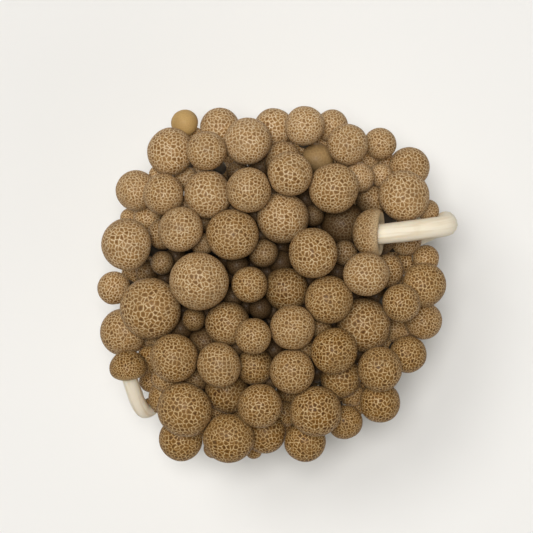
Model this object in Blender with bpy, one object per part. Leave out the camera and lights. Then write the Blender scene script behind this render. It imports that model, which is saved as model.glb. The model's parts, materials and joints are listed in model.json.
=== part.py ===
"""Brown beech mushroom cluster: one cut foot, a sheaf of pale stems and the brown caps on them.

The cluster stands on the flat cut under its foot. +Z is up, the origin is the middle of the cut,
and the caps face up, as they are seen from above with +Y at the top of the view.
"""

import math
from collections import namedtuple

import bmesh
import bpy
import numpy as np
from mathutils import Matrix, Vector

MM = 0.001
SEED = 41

# Driving dimensions, in metres.
CROWN_TOP = 0.074
RIM_RADIUS = 0.055
RIM_DROP = 0.013
LEVEL_DROP = 0.0055
FOOT_RADIUS = 0.0235
FOOT_HEIGHT = 0.015
CORE_TOP = 0.040
CUT_DEPTH = 0.002
SMALLEST_LOOSE_CAP = 0.00975
CLEARANCE = 0.0005
STEM_GAP = 0.0003

# Shares: how far in a stem's root lies from its cap, and how much the rim's caps lean out.
FOOT_SPREAD = 0.385
RIM_LEAN = 0.32

# Shares of a cap's radius: the seat of its stem, its gill ring, and how deep the gills fold.
SEAT_LEVEL = -0.10
GILL_PLACE = 0.66
GILL_LEVEL = -0.20
GILL_DEPTH = 0.13

# Colours as seen in daylight.
CAP_BROWN = (0.36, 0.22, 0.10, 1.0)
STEM_CREAM = (0.80, 0.70, 0.53, 1.0)

# The caps seen from above, in millimetres: x, y, width across and level. Level 0 is the crown's
# surface, and each further level lies LEVEL_DROP lower, under the edges of its neighbours.
UPPER_CAPS = (
    (-30, 41, 14, 0), (-26, 49.5, 8, 1), (-15.5, 48.5, 13, 1), (-18, 40, 11.5, 0),
    (-6, 43, 14, 1), (1, 47.5, 12.5, 1), (11, 48, 12, 0), (19, 49, 9.5, 1), (24, 42, 12, 0),
    (14, 39.5, 9.5, 2), (34, 43.5, 9.5, 1), (43, 35.5, 12, 1), (2.5, 38, 11, 1),
    (-32, 27.5, 12, 0), (-19, 28, 14, 0), (-6, 28, 13, 0), (-41, 29, 12, 1), (6, 32, 13, 0),
    (19, 29.5, 14.5, 0), (27, 33.5, 9, 0.5), (34, 32.5, 7, 1), (30, 25, 9, 2),
    (41, 24.5, 15, 0.5),
)
MIDDLE_CAPS = (
    (-28, 17, 13, 0), (-33, 14.5, 9, 1), (-42, 13, 15, 0), (-11.5, 15.5, 15, 0),
    (-21, 18.5, 5, 2), (-33, 7, 7, 2), (-21, 1, 19, 0), (-5.5, 0, 10.5, 1),
    (-1.5, 11, 8.5, 1.5), (4.5, 20.5, 15, 0), (12.5, 10, 16, 0), (23, 20, 13, 1.5),
    (29, 4, 13, 0), (36.5, 4, 10, 1), (46, 0, 13, 0.5), (47.5, 8, 8, 1.5), (18, -4, 14, 0),
    (4.5, -1.5, 13, 1), (39, -6, 11, 0), (47, -11, 11, 1), (-48, -1, 11, 1.5),
)
LOWER_CAPS = (
    (-36, -7, 18, 0), (-45, -16, 14, 1), (-23, -11, 7, 2), (-13, -12, 13, 1),
    (-5, -15, 11, 0), (6, -13.5, 13, 0), (30, -12, 16, 0), (20, -19.5, 13.5, 0),
    (42.5, -21, 11, 1), (-27, -22, 14, 0), (-22, -18, 9, 1.5), (-16, -24, 13, 0),
    (-5, -26, 11, 0.5), (7, -26, 13, 0), (33, -25, 13, 0.5), (21.5, -29, 12, 1),
    (-32, -29.5, 8.5, 1.5), (-26, -38, 16, 0), (-36.5, -36, 11, 2), (-13, -33, 13, 1),
    (-3.5, -36, 13, 0.5), (14, -37.5, 15, 0), (26, -34, 7, 2), (33, -35.5, 12, 1),
    (23, -42, 10.5, 1), (-27, -48, 14.5, 1), (-12, -46, 15, 0), (-18, -50.5, 6, 2),
    (-1, -46, 12, 1), (10, -48, 12, 1),
)

# Two mushrooms that grew over the rim and bent back across it, in millimetres: the middle of the
# cap, the way it faces, its width, its stem's radius, and the points that the stem passes on its
# way down to the foot.
Bent = namedtuple("Bent", "middle facing width stem passed")
BENT_MUSHROOMS = (
    Bent(
        (31.4, 15.8, 62.5), (-1, 0.04, -0.22), 14.2, 3.3,
        ((41, 14.4, 63.6), (48, 13.7, 63.2), (55.6, 20.3, 57.5), (54, 19, 44), (41, 13, 29)),
    ),
    Bent(
        (-43.5, -25.5, 54.5), (-0.1, 1, 0.45), 11, 2.5,
        ((-43, -32.5, 52.5), (-41.5, -38, 48.5), (-37.5, -39.5, 40), (-30, -32, 27)),
    ),
)

# Young mushrooms deep in the sheaf, each set where the caps above leave the widest gap.
DEEP_COUNT = 9
DEEP_LEVEL = 2.4
DEEP_WIDTHS = (0.0065, 0.0095)
DEEP_REACH = 0.044

# Small mushrooms that stopped growing, low round the foot.
PIN_COUNT = 9
PIN_HEIGHTS = (0.017, 0.030)
PIN_WIDTHS = (0.0032, 0.0052)

# A stem is worked out at STEM_NODES places. Its solid keeps fewer, and fewest where caps hide it.
STEM_NODES = 10
OUTER_NODES = (0, 2, 4, 6, 8, 9)
INNER_NODES = (0, 4, 6, 8, 9)
HIDDEN_RADIUS = 0.036

# How the crowd settles: rounds with every cap drawn back to its seat, and then rounds without.
SETTLING_ROUNDS = 420
CALM_ROUNDS = 120
PULL_HOME = (0.10, 0.10, 0.015)
STEM_EASING = 0.30
CALM_EASING = 0.08
FIRMNESS = 0.5
STEM_CLOSENESS = 0.92
CAPS_REST = 0.00005
STEMS_REST = 0.00015


def clear_scene():
    """Removes whatever the startup scene holds."""
    for obj in list(bpy.data.objects):
        bpy.data.objects.remove(obj)


def make_material(name, colour, roughness):
    """A plain Principled material for the solids."""
    material = bpy.data.materials.new(name)
    material.use_nodes = True
    shader = material.node_tree.nodes["Principled BSDF"]
    shader.inputs["Base Color"].default_value = colour
    shader.inputs["Roughness"].default_value = roughness
    shader.inputs["Metallic"].default_value = 0.0
    return material


def cap_rise(width):
    """Height of a cap above its widest circle: small caps are nearly round, large ones flatter."""
    return width / 2 * float(np.interp(width / MM, (6, 19), (0.98, 0.80)))


def stem_radius(width):
    """Radius of the stem that carries a cap of this width."""
    return 0.158 * width + 0.0006


def unit(vectors):
    """The vectors at length one."""
    return vectors / np.maximum(np.linalg.norm(vectors, axis=-1, keepdims=True), 1e-9)


def smooth_route(points, count):
    """Evenly spaced points on a rounded curve through a stem's route."""
    points = np.array(points, float)
    for _ in range(3):
        near = 0.75 * points[:-1] + 0.25 * points[1:]
        far = 0.25 * points[:-1] + 0.75 * points[1:]
        points = np.vstack([points[:1], np.stack([near, far], axis=1).reshape(-1, 3), points[-1:]])
    steps = np.r_[0, np.cumsum(np.linalg.norm(np.diff(points, axis=0), axis=1))]
    places = np.linspace(0, steps[-1], count)
    return np.stack([np.interp(places, steps, points[:, k]) for k in range(3)], axis=1)


def with_deep_caps(seen):
    """The seen caps, and after them small ones where those leave the widest gaps, in millimetres."""
    steps = np.arange(-DEEP_REACH, DEEP_REACH, 0.001) / MM
    spots = np.stack(np.meshgrid(steps, steps), axis=-1).reshape(-1, 2)
    spots = spots[np.linalg.norm(spots, axis=1) < DEEP_REACH / MM]
    rows = seen
    tucked_under = 0.0025
    for _ in range(DEEP_COUNT):
        apart = np.linalg.norm(spots[:, None] - rows[None, :, :2], axis=2) - rows[None, :, 2] / 2
        free = apart.min(axis=1)
        widest = int(free.argmax())
        width = float(np.clip(2 * free[widest] * MM + tucked_under, *DEEP_WIDTHS)) / MM
        rows = np.vstack([rows, (*spots[widest], width, DEEP_LEVEL)])
    return rows


class Cluster:
    """Places of all caps and stems, worked out so that no cap meets another cap or a stem."""

    def __init__(self):
        draw = np.random.default_rng(SEED)
        seen = with_deep_caps(np.array(UPPER_CAPS + MIDDLE_CAPS + LOWER_CAPS, float))
        bent = BENT_MUSHROOMS
        self.free = np.r_[np.ones(len(seen), bool), np.zeros(len(bent), bool)]
        self.width = np.r_[seen[:, 2], [one.width for one in bent]] * MM
        self.radius = self.width / 2
        self.stem = np.array([stem_radius(width) for width in self.width])
        self.stem[~self.free] = [one.stem * MM for one in bent]
        seats = seen[:, :2] * MM
        rise = np.array([cap_rise(width) for width in self.width[self.free]])
        sunk = RIM_DROP * (np.linalg.norm(seats, axis=1) / RIM_RADIUS) ** 2 + LEVEL_DROP * seen[:, 3]
        top = CROWN_TOP - sunk + draw.normal(0, 0.0008, len(seen))
        lean = seats / RIM_RADIUS * RIM_LEAN + draw.normal(0, 0.09, seats.shape)
        self.axis = unit(np.r_[np.c_[lean, np.ones(len(seen))], [one.facing for one in bent]])
        self.centre = np.r_[np.c_[seats, top - rise], np.array([one.middle for one in bent]) * MM]
        self.target = self.centre.copy()
        sway = np.sin(np.linspace(0, math.pi, STEM_NODES))[None, :, None]
        self.bend = np.zeros((len(self.width), STEM_NODES, 3))
        self.bend[..., :2] = draw.normal(0, 0.0006, (len(self.width), 1, 2)) * sway
        self.routes = self.rest_routes() + self.bend * self.free[:, None, None]
        self.settle()

    def seat_under_cap(self):
        """Where each stem ends, just under the flat middle of its cap."""
        return self.centre + self.axis * (SEAT_LEVEL * self.radius - STEM_GAP)[:, None]

    def rest_routes(self):
        """The curve that each stem would take alone: upright at the foot and under its cap."""
        roots = np.c_[self.target[:, :2] * FOOT_SPREAD, np.full(len(self.target), -CUT_DEPTH)]
        ends = self.seat_under_cap()
        rise = (ends - roots)[:, 2:]
        low = roots + (ends - roots) * (0.10, 0.10, 0.46)
        high = ends - self.axis * 0.40 * rise
        share = np.linspace(0, 1, STEM_NODES)[None, :, None]
        routes = (1 - share) ** 3 * roots[:, None] + share ** 3 * ends[:, None]
        routes += 3 * (1 - share) * share * ((1 - share) * low[:, None] + share * high[:, None])
        for index, one in zip(np.flatnonzero(~self.free), BENT_MUSHROOMS):
            straight = ends[index] - self.axis[index] * 0.4 * self.radius[index]
            way = [roots[index], *(np.array(one.passed)[::-1] * MM), straight, ends[index]]
            routes[index] = smooth_route(way, STEM_NODES)
        return routes

    def part_caps(self):
        """Moves each pair of caps that meet apart, along the line between them."""
        others = 1 - np.eye(len(self.centre))
        between = self.centre[:, None] - self.centre[None]
        distance = np.linalg.norm(between, axis=2) + np.eye(len(self.centre))
        need = self.radius[:, None] + self.radius[None] + CLEARANCE
        push = np.where(distance < need, need - distance, 0) * others
        share = np.where(self.free[None], 0.5, 1.0) * self.free[:, None]
        self.centre += FIRMNESS * (between / distance[..., None] * (push * share)[..., None]).sum(axis=1)
        return float(push.max())

    def part_stems_from_caps(self):
        """Bends stems clear of the caps beside them, and moves a cap off a stem that carries another."""
        worst = 0.0
        shallow_below, level_first = 0.55, (1, 1, 0.3)
        middles = 0.5 * (self.routes[:, 1:] + self.routes[:, :-1])
        for points in (self.routes, middles):
            offset = points[:, :, None] - self.centre[None, None]
            along = np.einsum("skcx,cx->skc", offset, self.axis)
            below = np.where(along < 0, along * shallow_below, 0)
            stretched = offset + below[..., None] * self.axis[None, None]
            distance = np.linalg.norm(stretched, axis=3) + 1e-9
            need = self.radius[None, None] + self.stem[:, None, None] + CLEARANCE * 1.5
            push = np.where(distance < need, need - distance, 0)
            push[np.arange(len(push)), :, np.arange(len(push))] = 0
            worst = max(worst, float(push.max()))
            move = unit(stretched * level_first) * push[..., None]
            on_stem = FIRMNESS * 0.7 * move.sum(axis=2) * self.free[:, None, None]
            if points is middles:
                self.routes[:, 1:] += 0.5 * on_stem
                self.routes[:, :-1] += 0.5 * on_stem
            else:
                self.routes += on_stem
            self.centre -= FIRMNESS * 0.4 * move.sum(axis=(0, 1)) * self.free[:, None]
            self.centre += 0.35 * on_stem[:, -3:].sum(axis=1)
        return worst

    def part_stems(self, firmness):
        """Keeps the upper stems side by side, so that they don't run through each other."""
        need = STEM_CLOSENESS * (self.stem[:, None] + self.stem[None])
        others = 1 - np.eye(len(need))
        for node in range(3, STEM_NODES - 1):
            points = self.routes[:, node]
            between = (points[:, None] - points[None]) * (1, 1, 0.5)
            distance = np.linalg.norm(between, axis=2) + np.eye(len(points))
            push = np.where(distance < need, need - distance, 0) * others
            step = (between / distance[..., None] * push[..., None]).sum(axis=1)
            self.routes[:, node] += firmness * 0.5 * step * self.free[:, None]

    def tie_ends(self):
        """Keeps each stem's end straight under its cap."""
        self.routes[:, -1] = self.seat_under_cap()
        self.routes[:, -2] = self.centre - self.axis * (0.45 * self.radius + 0.001)[:, None]

    def settle(self):
        """Works the caps and stems free of each other, then lets them rest."""
        for turn in range(SETTLING_ROUNDS + CALM_ROUNDS):
            calm = turn >= SETTLING_ROUNDS
            if not calm:
                self.centre += (self.target - self.centre) * PULL_HOME * self.free[:, None]
            middle = 0.5 * (self.bend[:, 2:] + self.bend[:, :-2])
            self.bend[:, 1:-1] += (CALM_EASING if calm else STEM_EASING) * (middle - self.bend[:, 1:-1])
            self.bend[:, :2] = 0
            self.routes = self.rest_routes() + self.bend * self.free[:, None, None]
            self.part_stems(0.3 if calm else 0.8)
            self.tie_ends()
            stem_worst = self.part_stems_from_caps()
            cap_worst = self.part_caps()
            self.bend = self.routes - self.rest_routes()
            if calm and cap_worst < CAPS_REST and stem_worst < STEMS_REST:
                break
        self.tie_ends()
        print(f"settled after {turn + 1} rounds, within {cap_worst / MM:.2f} and {stem_worst / MM:.2f} mm")


def mesh_object(name, mesh_builder, collection):
    """A new object whose mesh is made from a bmesh, with its faces pointing out."""
    shape = bmesh.new()
    mesh_builder(shape)
    bmesh.ops.remove_doubles(shape, verts=shape.verts, dist=0.00001)
    bmesh.ops.recalc_face_normals(shape, faces=shape.faces)
    mesh = bpy.data.meshes.new(name)
    shape.to_mesh(mesh)
    shape.free()
    obj = bpy.data.objects.new(name, mesh)
    collection.objects.link(obj)
    return obj


def turn_profile(shape, profile, sides):
    """Spins a profile of (radius, height) points round +Z."""
    points = [shape.verts.new((radius, 0, height)) for radius, height in profile]
    edges = [shape.edges.new(pair) for pair in zip(points, points[1:])]
    bmesh.ops.spin(
        shape, geom=points + edges, cent=(0, 0, 0), axis=(0, 0, 1), dvec=(0, 0, 0),
        angle=2 * math.pi, steps=sides, use_merge=True,
    )
    bmesh.ops.remove_doubles(shape, verts=shape.verts, dist=0.00001)


def cap_solid(shape, width, stem, sides):
    """A cap on +Z: a rounded dome, a margin rolled under, gill folds, and a flat seat for the stem."""
    radius = width / 2
    rise = cap_rise(width)
    profile = (
        (0, rise), (0.50 * radius, 0.86 * rise), (0.86 * radius, 0.48 * rise),
        (radius, -0.02 * radius), (0.88 * radius, -0.33 * radius),
        (GILL_PLACE * radius, GILL_LEVEL * radius), (stem + 0.0006, SEAT_LEVEL * radius),
    )
    turn_profile(shape, profile, sides)
    seat_edges = [edge for edge in shape.edges if edge.is_boundary]
    bmesh.ops.contextual_create(shape, geom=seat_edges)
    fold_gills(shape, radius, sides)


def fold_gills(shape, radius, sides):
    """Folds the underside into gills: every second point of the gill ring stands lower."""
    near = 0.01 * radius
    for vertex in shape.verts:
        x, y, z = vertex.co
        at_height = abs(z - GILL_LEVEL * radius) < near
        on_ring = at_height and abs(math.hypot(x, y) - GILL_PLACE * radius) < near
        if on_ring and round(math.atan2(y, x) / (2 * math.pi / sides)) % 2:
            vertex.co.z -= GILL_DEPTH * radius


def upright_to(axis, centre):
    """The matrix that carries a shape on +Z to this place, facing along the axis."""
    turn = Vector((0, 0, 1)).rotation_difference(Vector(axis))
    return Matrix.Translation(Vector(centre)) @ turn.to_matrix().to_4x4()


def cap_sides(width):
    """Number of sides of a cap's solid, even so that its gills alternate."""
    return 14 if width > 0.0145 else 12


def tube(name, points, radii, collection, resolution=1):
    """A closed tube through the points, made from a curve with a bevel."""
    curve = bpy.data.curves.new(name, "CURVE")
    curve.dimensions = "3D"
    curve.bevel_depth = 1.0
    curve.bevel_resolution = resolution
    curve.use_fill_caps = True
    line = curve.splines.new("POLY")
    line.points.add(len(points) - 1)
    for place, radius, knot in zip(points, radii, line.points):
        knot.co = (*place, 1)
        knot.radius = radius
    drawn = bpy.data.objects.new(name + "_line", curve)
    collection.objects.link(drawn)
    graph = bpy.context.evaluated_depsgraph_get()
    mesh = bpy.data.meshes.new_from_object(drawn.evaluated_get(graph))
    bpy.data.objects.remove(drawn)
    return mesh_object(name, lambda shape: shape.from_mesh(mesh), collection)


def stem_radii(radius, count):
    """A stem is stout low down and slimmer where it meets its cap."""
    return radius * np.interp(np.linspace(0, 1, count), (0, 0.35, 1), (1.12, 1.06, 0.88))


def foot_and_core(shape):
    """The foot, and the middle of the sheaf that the outer stems stand out of."""
    profile = (
        (0, CORE_TOP), (0.012, CORE_TOP - 0.001), (0.020, CORE_TOP - 0.009),
        (FOOT_RADIUS - 0.0025, FOOT_HEIGHT), (FOOT_RADIUS - 0.0015, FOOT_HEIGHT * 0.5),
        (FOOT_RADIUS - 0.003, -CUT_DEPTH), (0, -CUT_DEPTH),
    )
    turn_profile(shape, profile, 24)
    for vertex in shape.verts:
        x, y, z = vertex.co
        angle = math.atan2(y, x)
        lobes = 0.030 * math.sin(5 * angle + 0.7) + 0.022 * math.sin(9 * angle + 2.1)
        vertex.co = (x * (1.04 + lobes), y * (0.97 + lobes), z)


def bud(shape, width, sides):
    """A small closed cap on +Z, rounded above and drawn in below."""
    radius = width / 2
    rise = cap_rise(width)
    profile = (
        (0, rise), (0.66 * radius, 0.72 * rise), (radius, 0.0),
        (0.80 * radius, -0.42 * radius), (0, -0.36 * radius),
    )
    turn_profile(shape, profile, sides)


def place_bud(name, width, sides, axis, centre, collection):
    """A bud at this place, facing along the axis."""
    obj = mesh_object(name, lambda shape: bud(shape, width, sides), collection)
    obj.data.transform(upright_to(axis, centre))


def pins(draw):
    """Root, tip and width of each small stunted mushroom round the foot."""
    for index in range(PIN_COUNT):
        angle = 2 * math.pi * (index + 0.35 * draw.random()) / PIN_COUNT
        outward = np.array((math.cos(angle), math.sin(angle), 0))
        root = outward * (FOOT_RADIUS - 0.004) + (0, 0, 0.6 * FOOT_HEIGHT)
        tip = outward * (FOOT_RADIUS + draw.uniform(0.002, 0.006)) + (0, 0, draw.uniform(*PIN_HEIGHTS))
        yield root, tip, draw.uniform(*PIN_WIDTHS)


def plant_pins(collection):
    """The stunted mushrooms, each a short stem and a bud."""
    bow = (0, 0, 0.001)
    for index, (root, tip, width) in enumerate(pins(np.random.default_rng(SEED + 1))):
        places = (root, 0.5 * (root + tip) + bow, tip)
        tube(f"pin_stem_{index:02d}", places, [0.32 * width] * 3, collection, 0)
        place_bud(f"pin_cap_{index:02d}", width, 6, unit(tip - root + 10 * np.array(bow)), tip, collection)


def knife_under_foot():
    """The block below the cut: its upper face is the level that the cluster stands on."""
    side = 4 * FOOT_RADIUS
    bpy.ops.mesh.primitive_cube_add(size=side, location=(0, 0, -side / 2))
    knife = bpy.context.object
    knife.name = "knife"
    knife.hide_render = True
    knife.display_type = "WIRE"
    return knife


def join_and_cut(body, repeats):
    """Fuses the repeats to the body, cuts the foot flat, and removes what it was made with."""
    join = body.modifiers.new("join repeats", "BOOLEAN")
    join.operation = "UNION"
    join.operand_type = "COLLECTION"
    join.collection = repeats
    join.solver = "MANIFOLD"
    knife = knife_under_foot()
    trim = body.modifiers.new("cut foot flat", "BOOLEAN")
    trim.operation = "DIFFERENCE"
    trim.object = knife
    trim.solver = "MANIFOLD"
    graph = bpy.context.evaluated_depsgraph_get()
    joined = bpy.data.meshes.new_from_object(body.evaluated_get(graph))
    body.modifiers.clear()
    body.data = joined
    for obj in [*repeats.objects, knife]:
        bpy.data.objects.remove(obj)
    bpy.data.collections.remove(repeats)


def build_stems(cluster, loose, collection, material):
    """The pale body: foot, core, every stem, and the small caps that stay fused to their stems."""
    repeats = bpy.data.collections.new("stem_repeats")
    bpy.context.scene.collection.children.link(repeats)
    body = mesh_object("stems", foot_and_core, collection)
    body.data.materials.append(material)
    for index, route in enumerate(cluster.routes):
        hidden = np.linalg.norm(cluster.centre[index, :2]) < HIDDEN_RADIUS
        kept = INNER_NODES if hidden else OUTER_NODES
        places = route[list(kept)] if cluster.free[index] else route
        tube(f"stem_{index:02d}", places, stem_radii(cluster.stem[index], len(places)), repeats)
        if not loose[index]:
            where = (cluster.axis[index], cluster.centre[index])
            place_bud(f"bud_{index:02d}", cluster.width[index], 8, *where, repeats)
    plant_pins(repeats)
    join_and_cut(body, repeats)


def build_caps(cluster, loose, collection, material):
    """One object for each cap that is large enough to stand as a piece of its own."""
    for number, index in enumerate(np.flatnonzero(loose), 1):
        width = cluster.width[index]
        size = (width, 0.88 * cluster.stem[index], cap_sides(width))
        cap = mesh_object(f"cap_{number:02d}", lambda shape: cap_solid(shape, *size), collection)
        cap.matrix_world = upright_to(cluster.axis[index], cluster.centre[index])
        cap.data.materials.append(material)
        cap.data.shade_smooth()


def main():
    """Builds the whole cluster."""
    clear_scene()
    collection = bpy.data.collections.new("beech_mushroom_cluster")
    bpy.context.scene.collection.children.link(collection)
    cluster = Cluster()
    loose = cluster.width >= SMALLEST_LOOSE_CAP
    build_stems(cluster, loose, collection, make_material("stem_flesh", STEM_CREAM, 0.55))
    build_caps(cluster, loose, collection, make_material("cap_skin", CAP_BROWN, 0.45))


main()
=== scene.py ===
"""Brown beech mushroom cluster, dressed for a studio picture taken from straight above.

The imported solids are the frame. Every brown cap is modelled again with its gills and its rolled
margin, the pale stems are drawn again as round fibrous stalks that run together in a lumpy foot,
and the young caps and stunted pins, which the solids carry fused to the stems, get their own skins.
"""

import json
import logging
import math
from collections.abc import Iterator, Sequence
from dataclasses import dataclass, field
from enum import Enum
from typing import ClassVar

import bmesh
import bpy
import numpy as np
from mathutils import Matrix, Vector, kdtree, noise

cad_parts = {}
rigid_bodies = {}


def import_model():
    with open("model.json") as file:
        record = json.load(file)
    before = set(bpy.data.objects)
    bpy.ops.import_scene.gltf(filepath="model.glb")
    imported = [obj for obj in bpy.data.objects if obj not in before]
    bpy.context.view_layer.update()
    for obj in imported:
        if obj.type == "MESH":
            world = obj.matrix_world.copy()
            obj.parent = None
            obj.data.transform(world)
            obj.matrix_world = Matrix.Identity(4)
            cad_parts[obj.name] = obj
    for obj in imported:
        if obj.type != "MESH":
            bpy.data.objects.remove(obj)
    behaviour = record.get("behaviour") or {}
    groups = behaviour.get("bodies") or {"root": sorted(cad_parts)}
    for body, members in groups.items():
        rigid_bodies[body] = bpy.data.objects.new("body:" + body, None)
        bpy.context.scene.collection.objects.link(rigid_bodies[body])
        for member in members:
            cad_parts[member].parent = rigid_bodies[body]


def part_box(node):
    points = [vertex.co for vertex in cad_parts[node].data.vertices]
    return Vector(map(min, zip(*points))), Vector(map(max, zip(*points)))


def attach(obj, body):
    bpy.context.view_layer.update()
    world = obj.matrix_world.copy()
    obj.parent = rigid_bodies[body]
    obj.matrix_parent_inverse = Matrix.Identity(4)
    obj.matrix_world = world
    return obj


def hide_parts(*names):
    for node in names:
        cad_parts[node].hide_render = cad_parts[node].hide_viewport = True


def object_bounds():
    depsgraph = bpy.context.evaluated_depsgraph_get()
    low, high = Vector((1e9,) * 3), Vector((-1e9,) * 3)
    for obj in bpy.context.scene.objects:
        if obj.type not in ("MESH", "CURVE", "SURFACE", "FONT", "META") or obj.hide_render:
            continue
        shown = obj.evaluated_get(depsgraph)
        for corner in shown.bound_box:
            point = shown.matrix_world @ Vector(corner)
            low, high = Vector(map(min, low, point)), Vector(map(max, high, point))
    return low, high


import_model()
CAD_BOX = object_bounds()

MM = 0.001
SEED = 41

# What the crowd, the painted shade under it and the foot share, in metres.
CROWN_TOP = 0.074
RIM_RADIUS = 0.055
RIM_DROP = 0.013
FOOT_RADIUS = 0.0235
FOOT_HEIGHT = 0.015

# Points of a mesh that lie closer than this are one, in metres.
MERGED = 0.000005

RGB = tuple[float, float, float]
Place = tuple[float, float, float]
log = logging.getLogger("mushroom_cluster")

# The caps seen from above, in millimetres: x, y, width across and level. Level 0 is the crown's
# surface, and each further level lies lower, under the edges of its neighbours.
UPPER_CAPS = (
    (-30, 41, 14, 0), (-26, 49.5, 8, 1), (-15.5, 48.5, 13, 1), (-18, 40, 11.5, 0),
    (-6, 43, 14, 1), (1, 47.5, 12.5, 1), (11, 48, 12, 0), (19, 49, 9.5, 1), (24, 42, 12, 0),
    (14, 39.5, 9.5, 2), (34, 43.5, 9.5, 1), (43, 35.5, 12, 1), (2.5, 38, 11, 1),
    (-32, 27.5, 12, 0), (-19, 28, 14, 0), (-6, 28, 13, 0), (-41, 29, 12, 1), (6, 32, 13, 0),
    (19, 29.5, 14.5, 0), (27, 33.5, 9, 0.5), (34, 32.5, 7, 1), (30, 25, 9, 2),
    (41, 24.5, 15, 0.5),
)
MIDDLE_CAPS = (
    (-28, 17, 13, 0), (-33, 14.5, 9, 1), (-42, 13, 15, 0), (-11.5, 15.5, 15, 0),
    (-21, 18.5, 5, 2), (-33, 7, 7, 2), (-21, 1, 19, 0), (-5.5, 0, 10.5, 1),
    (-1.5, 11, 8.5, 1.5), (4.5, 20.5, 15, 0), (12.5, 10, 16, 0), (23, 20, 13, 1.5),
    (29, 4, 13, 0), (36.5, 4, 10, 1), (46, 0, 13, 0.5), (47.5, 8, 8, 1.5), (18, -4, 14, 0),
    (4.5, -1.5, 13, 1), (39, -6, 11, 0), (47, -11, 11, 1), (-48, -1, 11, 1.5),
)
LOWER_CAPS = (
    (-36, -7, 18, 0), (-45, -16, 14, 1), (-23, -11, 7, 2), (-13, -12, 13, 1),
    (-5, -15, 11, 0), (6, -13.5, 13, 0), (30, -12, 16, 0), (20, -19.5, 13.5, 0),
    (42.5, -21, 11, 1), (-27, -22, 14, 0), (-22, -18, 9, 1.5), (-16, -24, 13, 0),
    (-5, -26, 11, 0.5), (7, -26, 13, 0), (33, -25, 13, 0.5), (21.5, -29, 12, 1),
    (-32, -29.5, 8.5, 1.5), (-26, -38, 16, 0), (-36.5, -36, 11, 2), (-13, -33, 13, 1),
    (-3.5, -36, 13, 0.5), (14, -37.5, 15, 0), (26, -34, 7, 2), (33, -35.5, 12, 1),
    (23, -42, 10.5, 1), (-27, -48, 14.5, 1), (-12, -46, 15, 0), (-18, -50.5, 6, 2),
    (-1, -46, 12, 1), (10, -48, 12, 1),
)


class CapLook(Enum):
    """What a cap's skin is like."""

    MARBLED = "marbled"
    PALE_BUD = "pale bud"
    SMOOTH_BROWN = "smooth brown"


# The few caps whose skin differs from the rest, by their place in the tables above.
ODD_CAPS = {
    (-26, 49.5): CapLook.PALE_BUD,
    (14, 39.5): CapLook.SMOOTH_BROWN,
}

# The odd looks' tint and their strength of marbling. The tint is 1 for golden skin and 0 for light
# skin, and lower still for the pale yellow of a bud.
ODD_SKINS = {CapLook.PALE_BUD: (-0.9, 0.12), CapLook.SMOOTH_BROWN: (0.9, 0.15)}


@dataclass(frozen=True)
class Bent:
    """A mushroom that grew over the rim and bent back across it, in millimetres.

    passed holds the points that its stem passes on the way down to the foot.
    """

    middle: Place
    facing: Place
    width: float
    stem: float
    passed: tuple[Place, ...]


BENT_MUSHROOMS = (
    Bent(
        (31.4, 15.8, 62.5), (-1, 0.04, -0.22), 14.2, 3.3,
        ((41, 14.4, 63.6), (48, 13.7, 63.2), (55.6, 20.3, 57.5), (54, 19, 44), (41, 13, 29)),
    ),
    Bent(
        (-43.5, -25.5, 54.5), (-0.1, 1, 0.45), 11, 2.5,
        ((-43, -32.5, 52.5), (-41.5, -38, 48.5), (-37.5, -39.5, 40), (-30, -32, 27)),
    ),
)


def cap_rise(width: float) -> float:
    """Height of a cap above its widest circle: small caps are nearly round, large ones flatter."""
    return width / 2 * float(np.interp(width / MM, (6, 19), (0.98, 0.80)))


def stem_radius(width: float) -> float:
    """Radius of the stem that carries a cap of this width."""
    return 0.158 * width + 0.0006


def unit(vectors: np.ndarray) -> np.ndarray:
    """The vectors at length one."""
    return vectors / np.maximum(np.linalg.norm(vectors, axis=-1, keepdims=True), 1e-9)


def clipped(value: float) -> float:
    """The value, held between 0 and 1."""
    return min(max(value, 0.0), 1.0)


def stem_curve(points: Sequence[np.ndarray], share: np.ndarray) -> np.ndarray:
    """Places on the rounded curve of a stem.

    Args:
        points: the root, the two handles that bend the curve, and the end.
        share: how far along the curve each place lies, from 0 to 1.

    Returns:
        The places.
    """
    root, low, high, end = points
    straight = (1 - share) ** 3 * root + share ** 3 * end
    return straight + 3 * (1 - share) * share * ((1 - share) * low + share * high)


def smooth_route(points: Sequence[np.ndarray], count: int) -> np.ndarray:
    """Evenly spaced points on a rounded curve through a stem's route.

    Args:
        points: the route's own points, from one end to the other.
        count: how many points to return.

    Returns:
        The points, one row each.
    """
    way = np.array(points, float)
    for _ in range(3):
        near = 0.75 * way[:-1] + 0.25 * way[1:]
        far = 0.25 * way[:-1] + 0.75 * way[1:]
        way = np.vstack([way[:1], np.stack([near, far], axis=1).reshape(-1, 3), way[-1:]])
    steps = np.r_[0, np.cumsum(np.linalg.norm(np.diff(way, axis=0), axis=1))]
    places = np.linspace(0, steps[-1], count)
    return np.stack([np.interp(places, steps, way[:, k]) for k in range(3)], axis=1)


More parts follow.
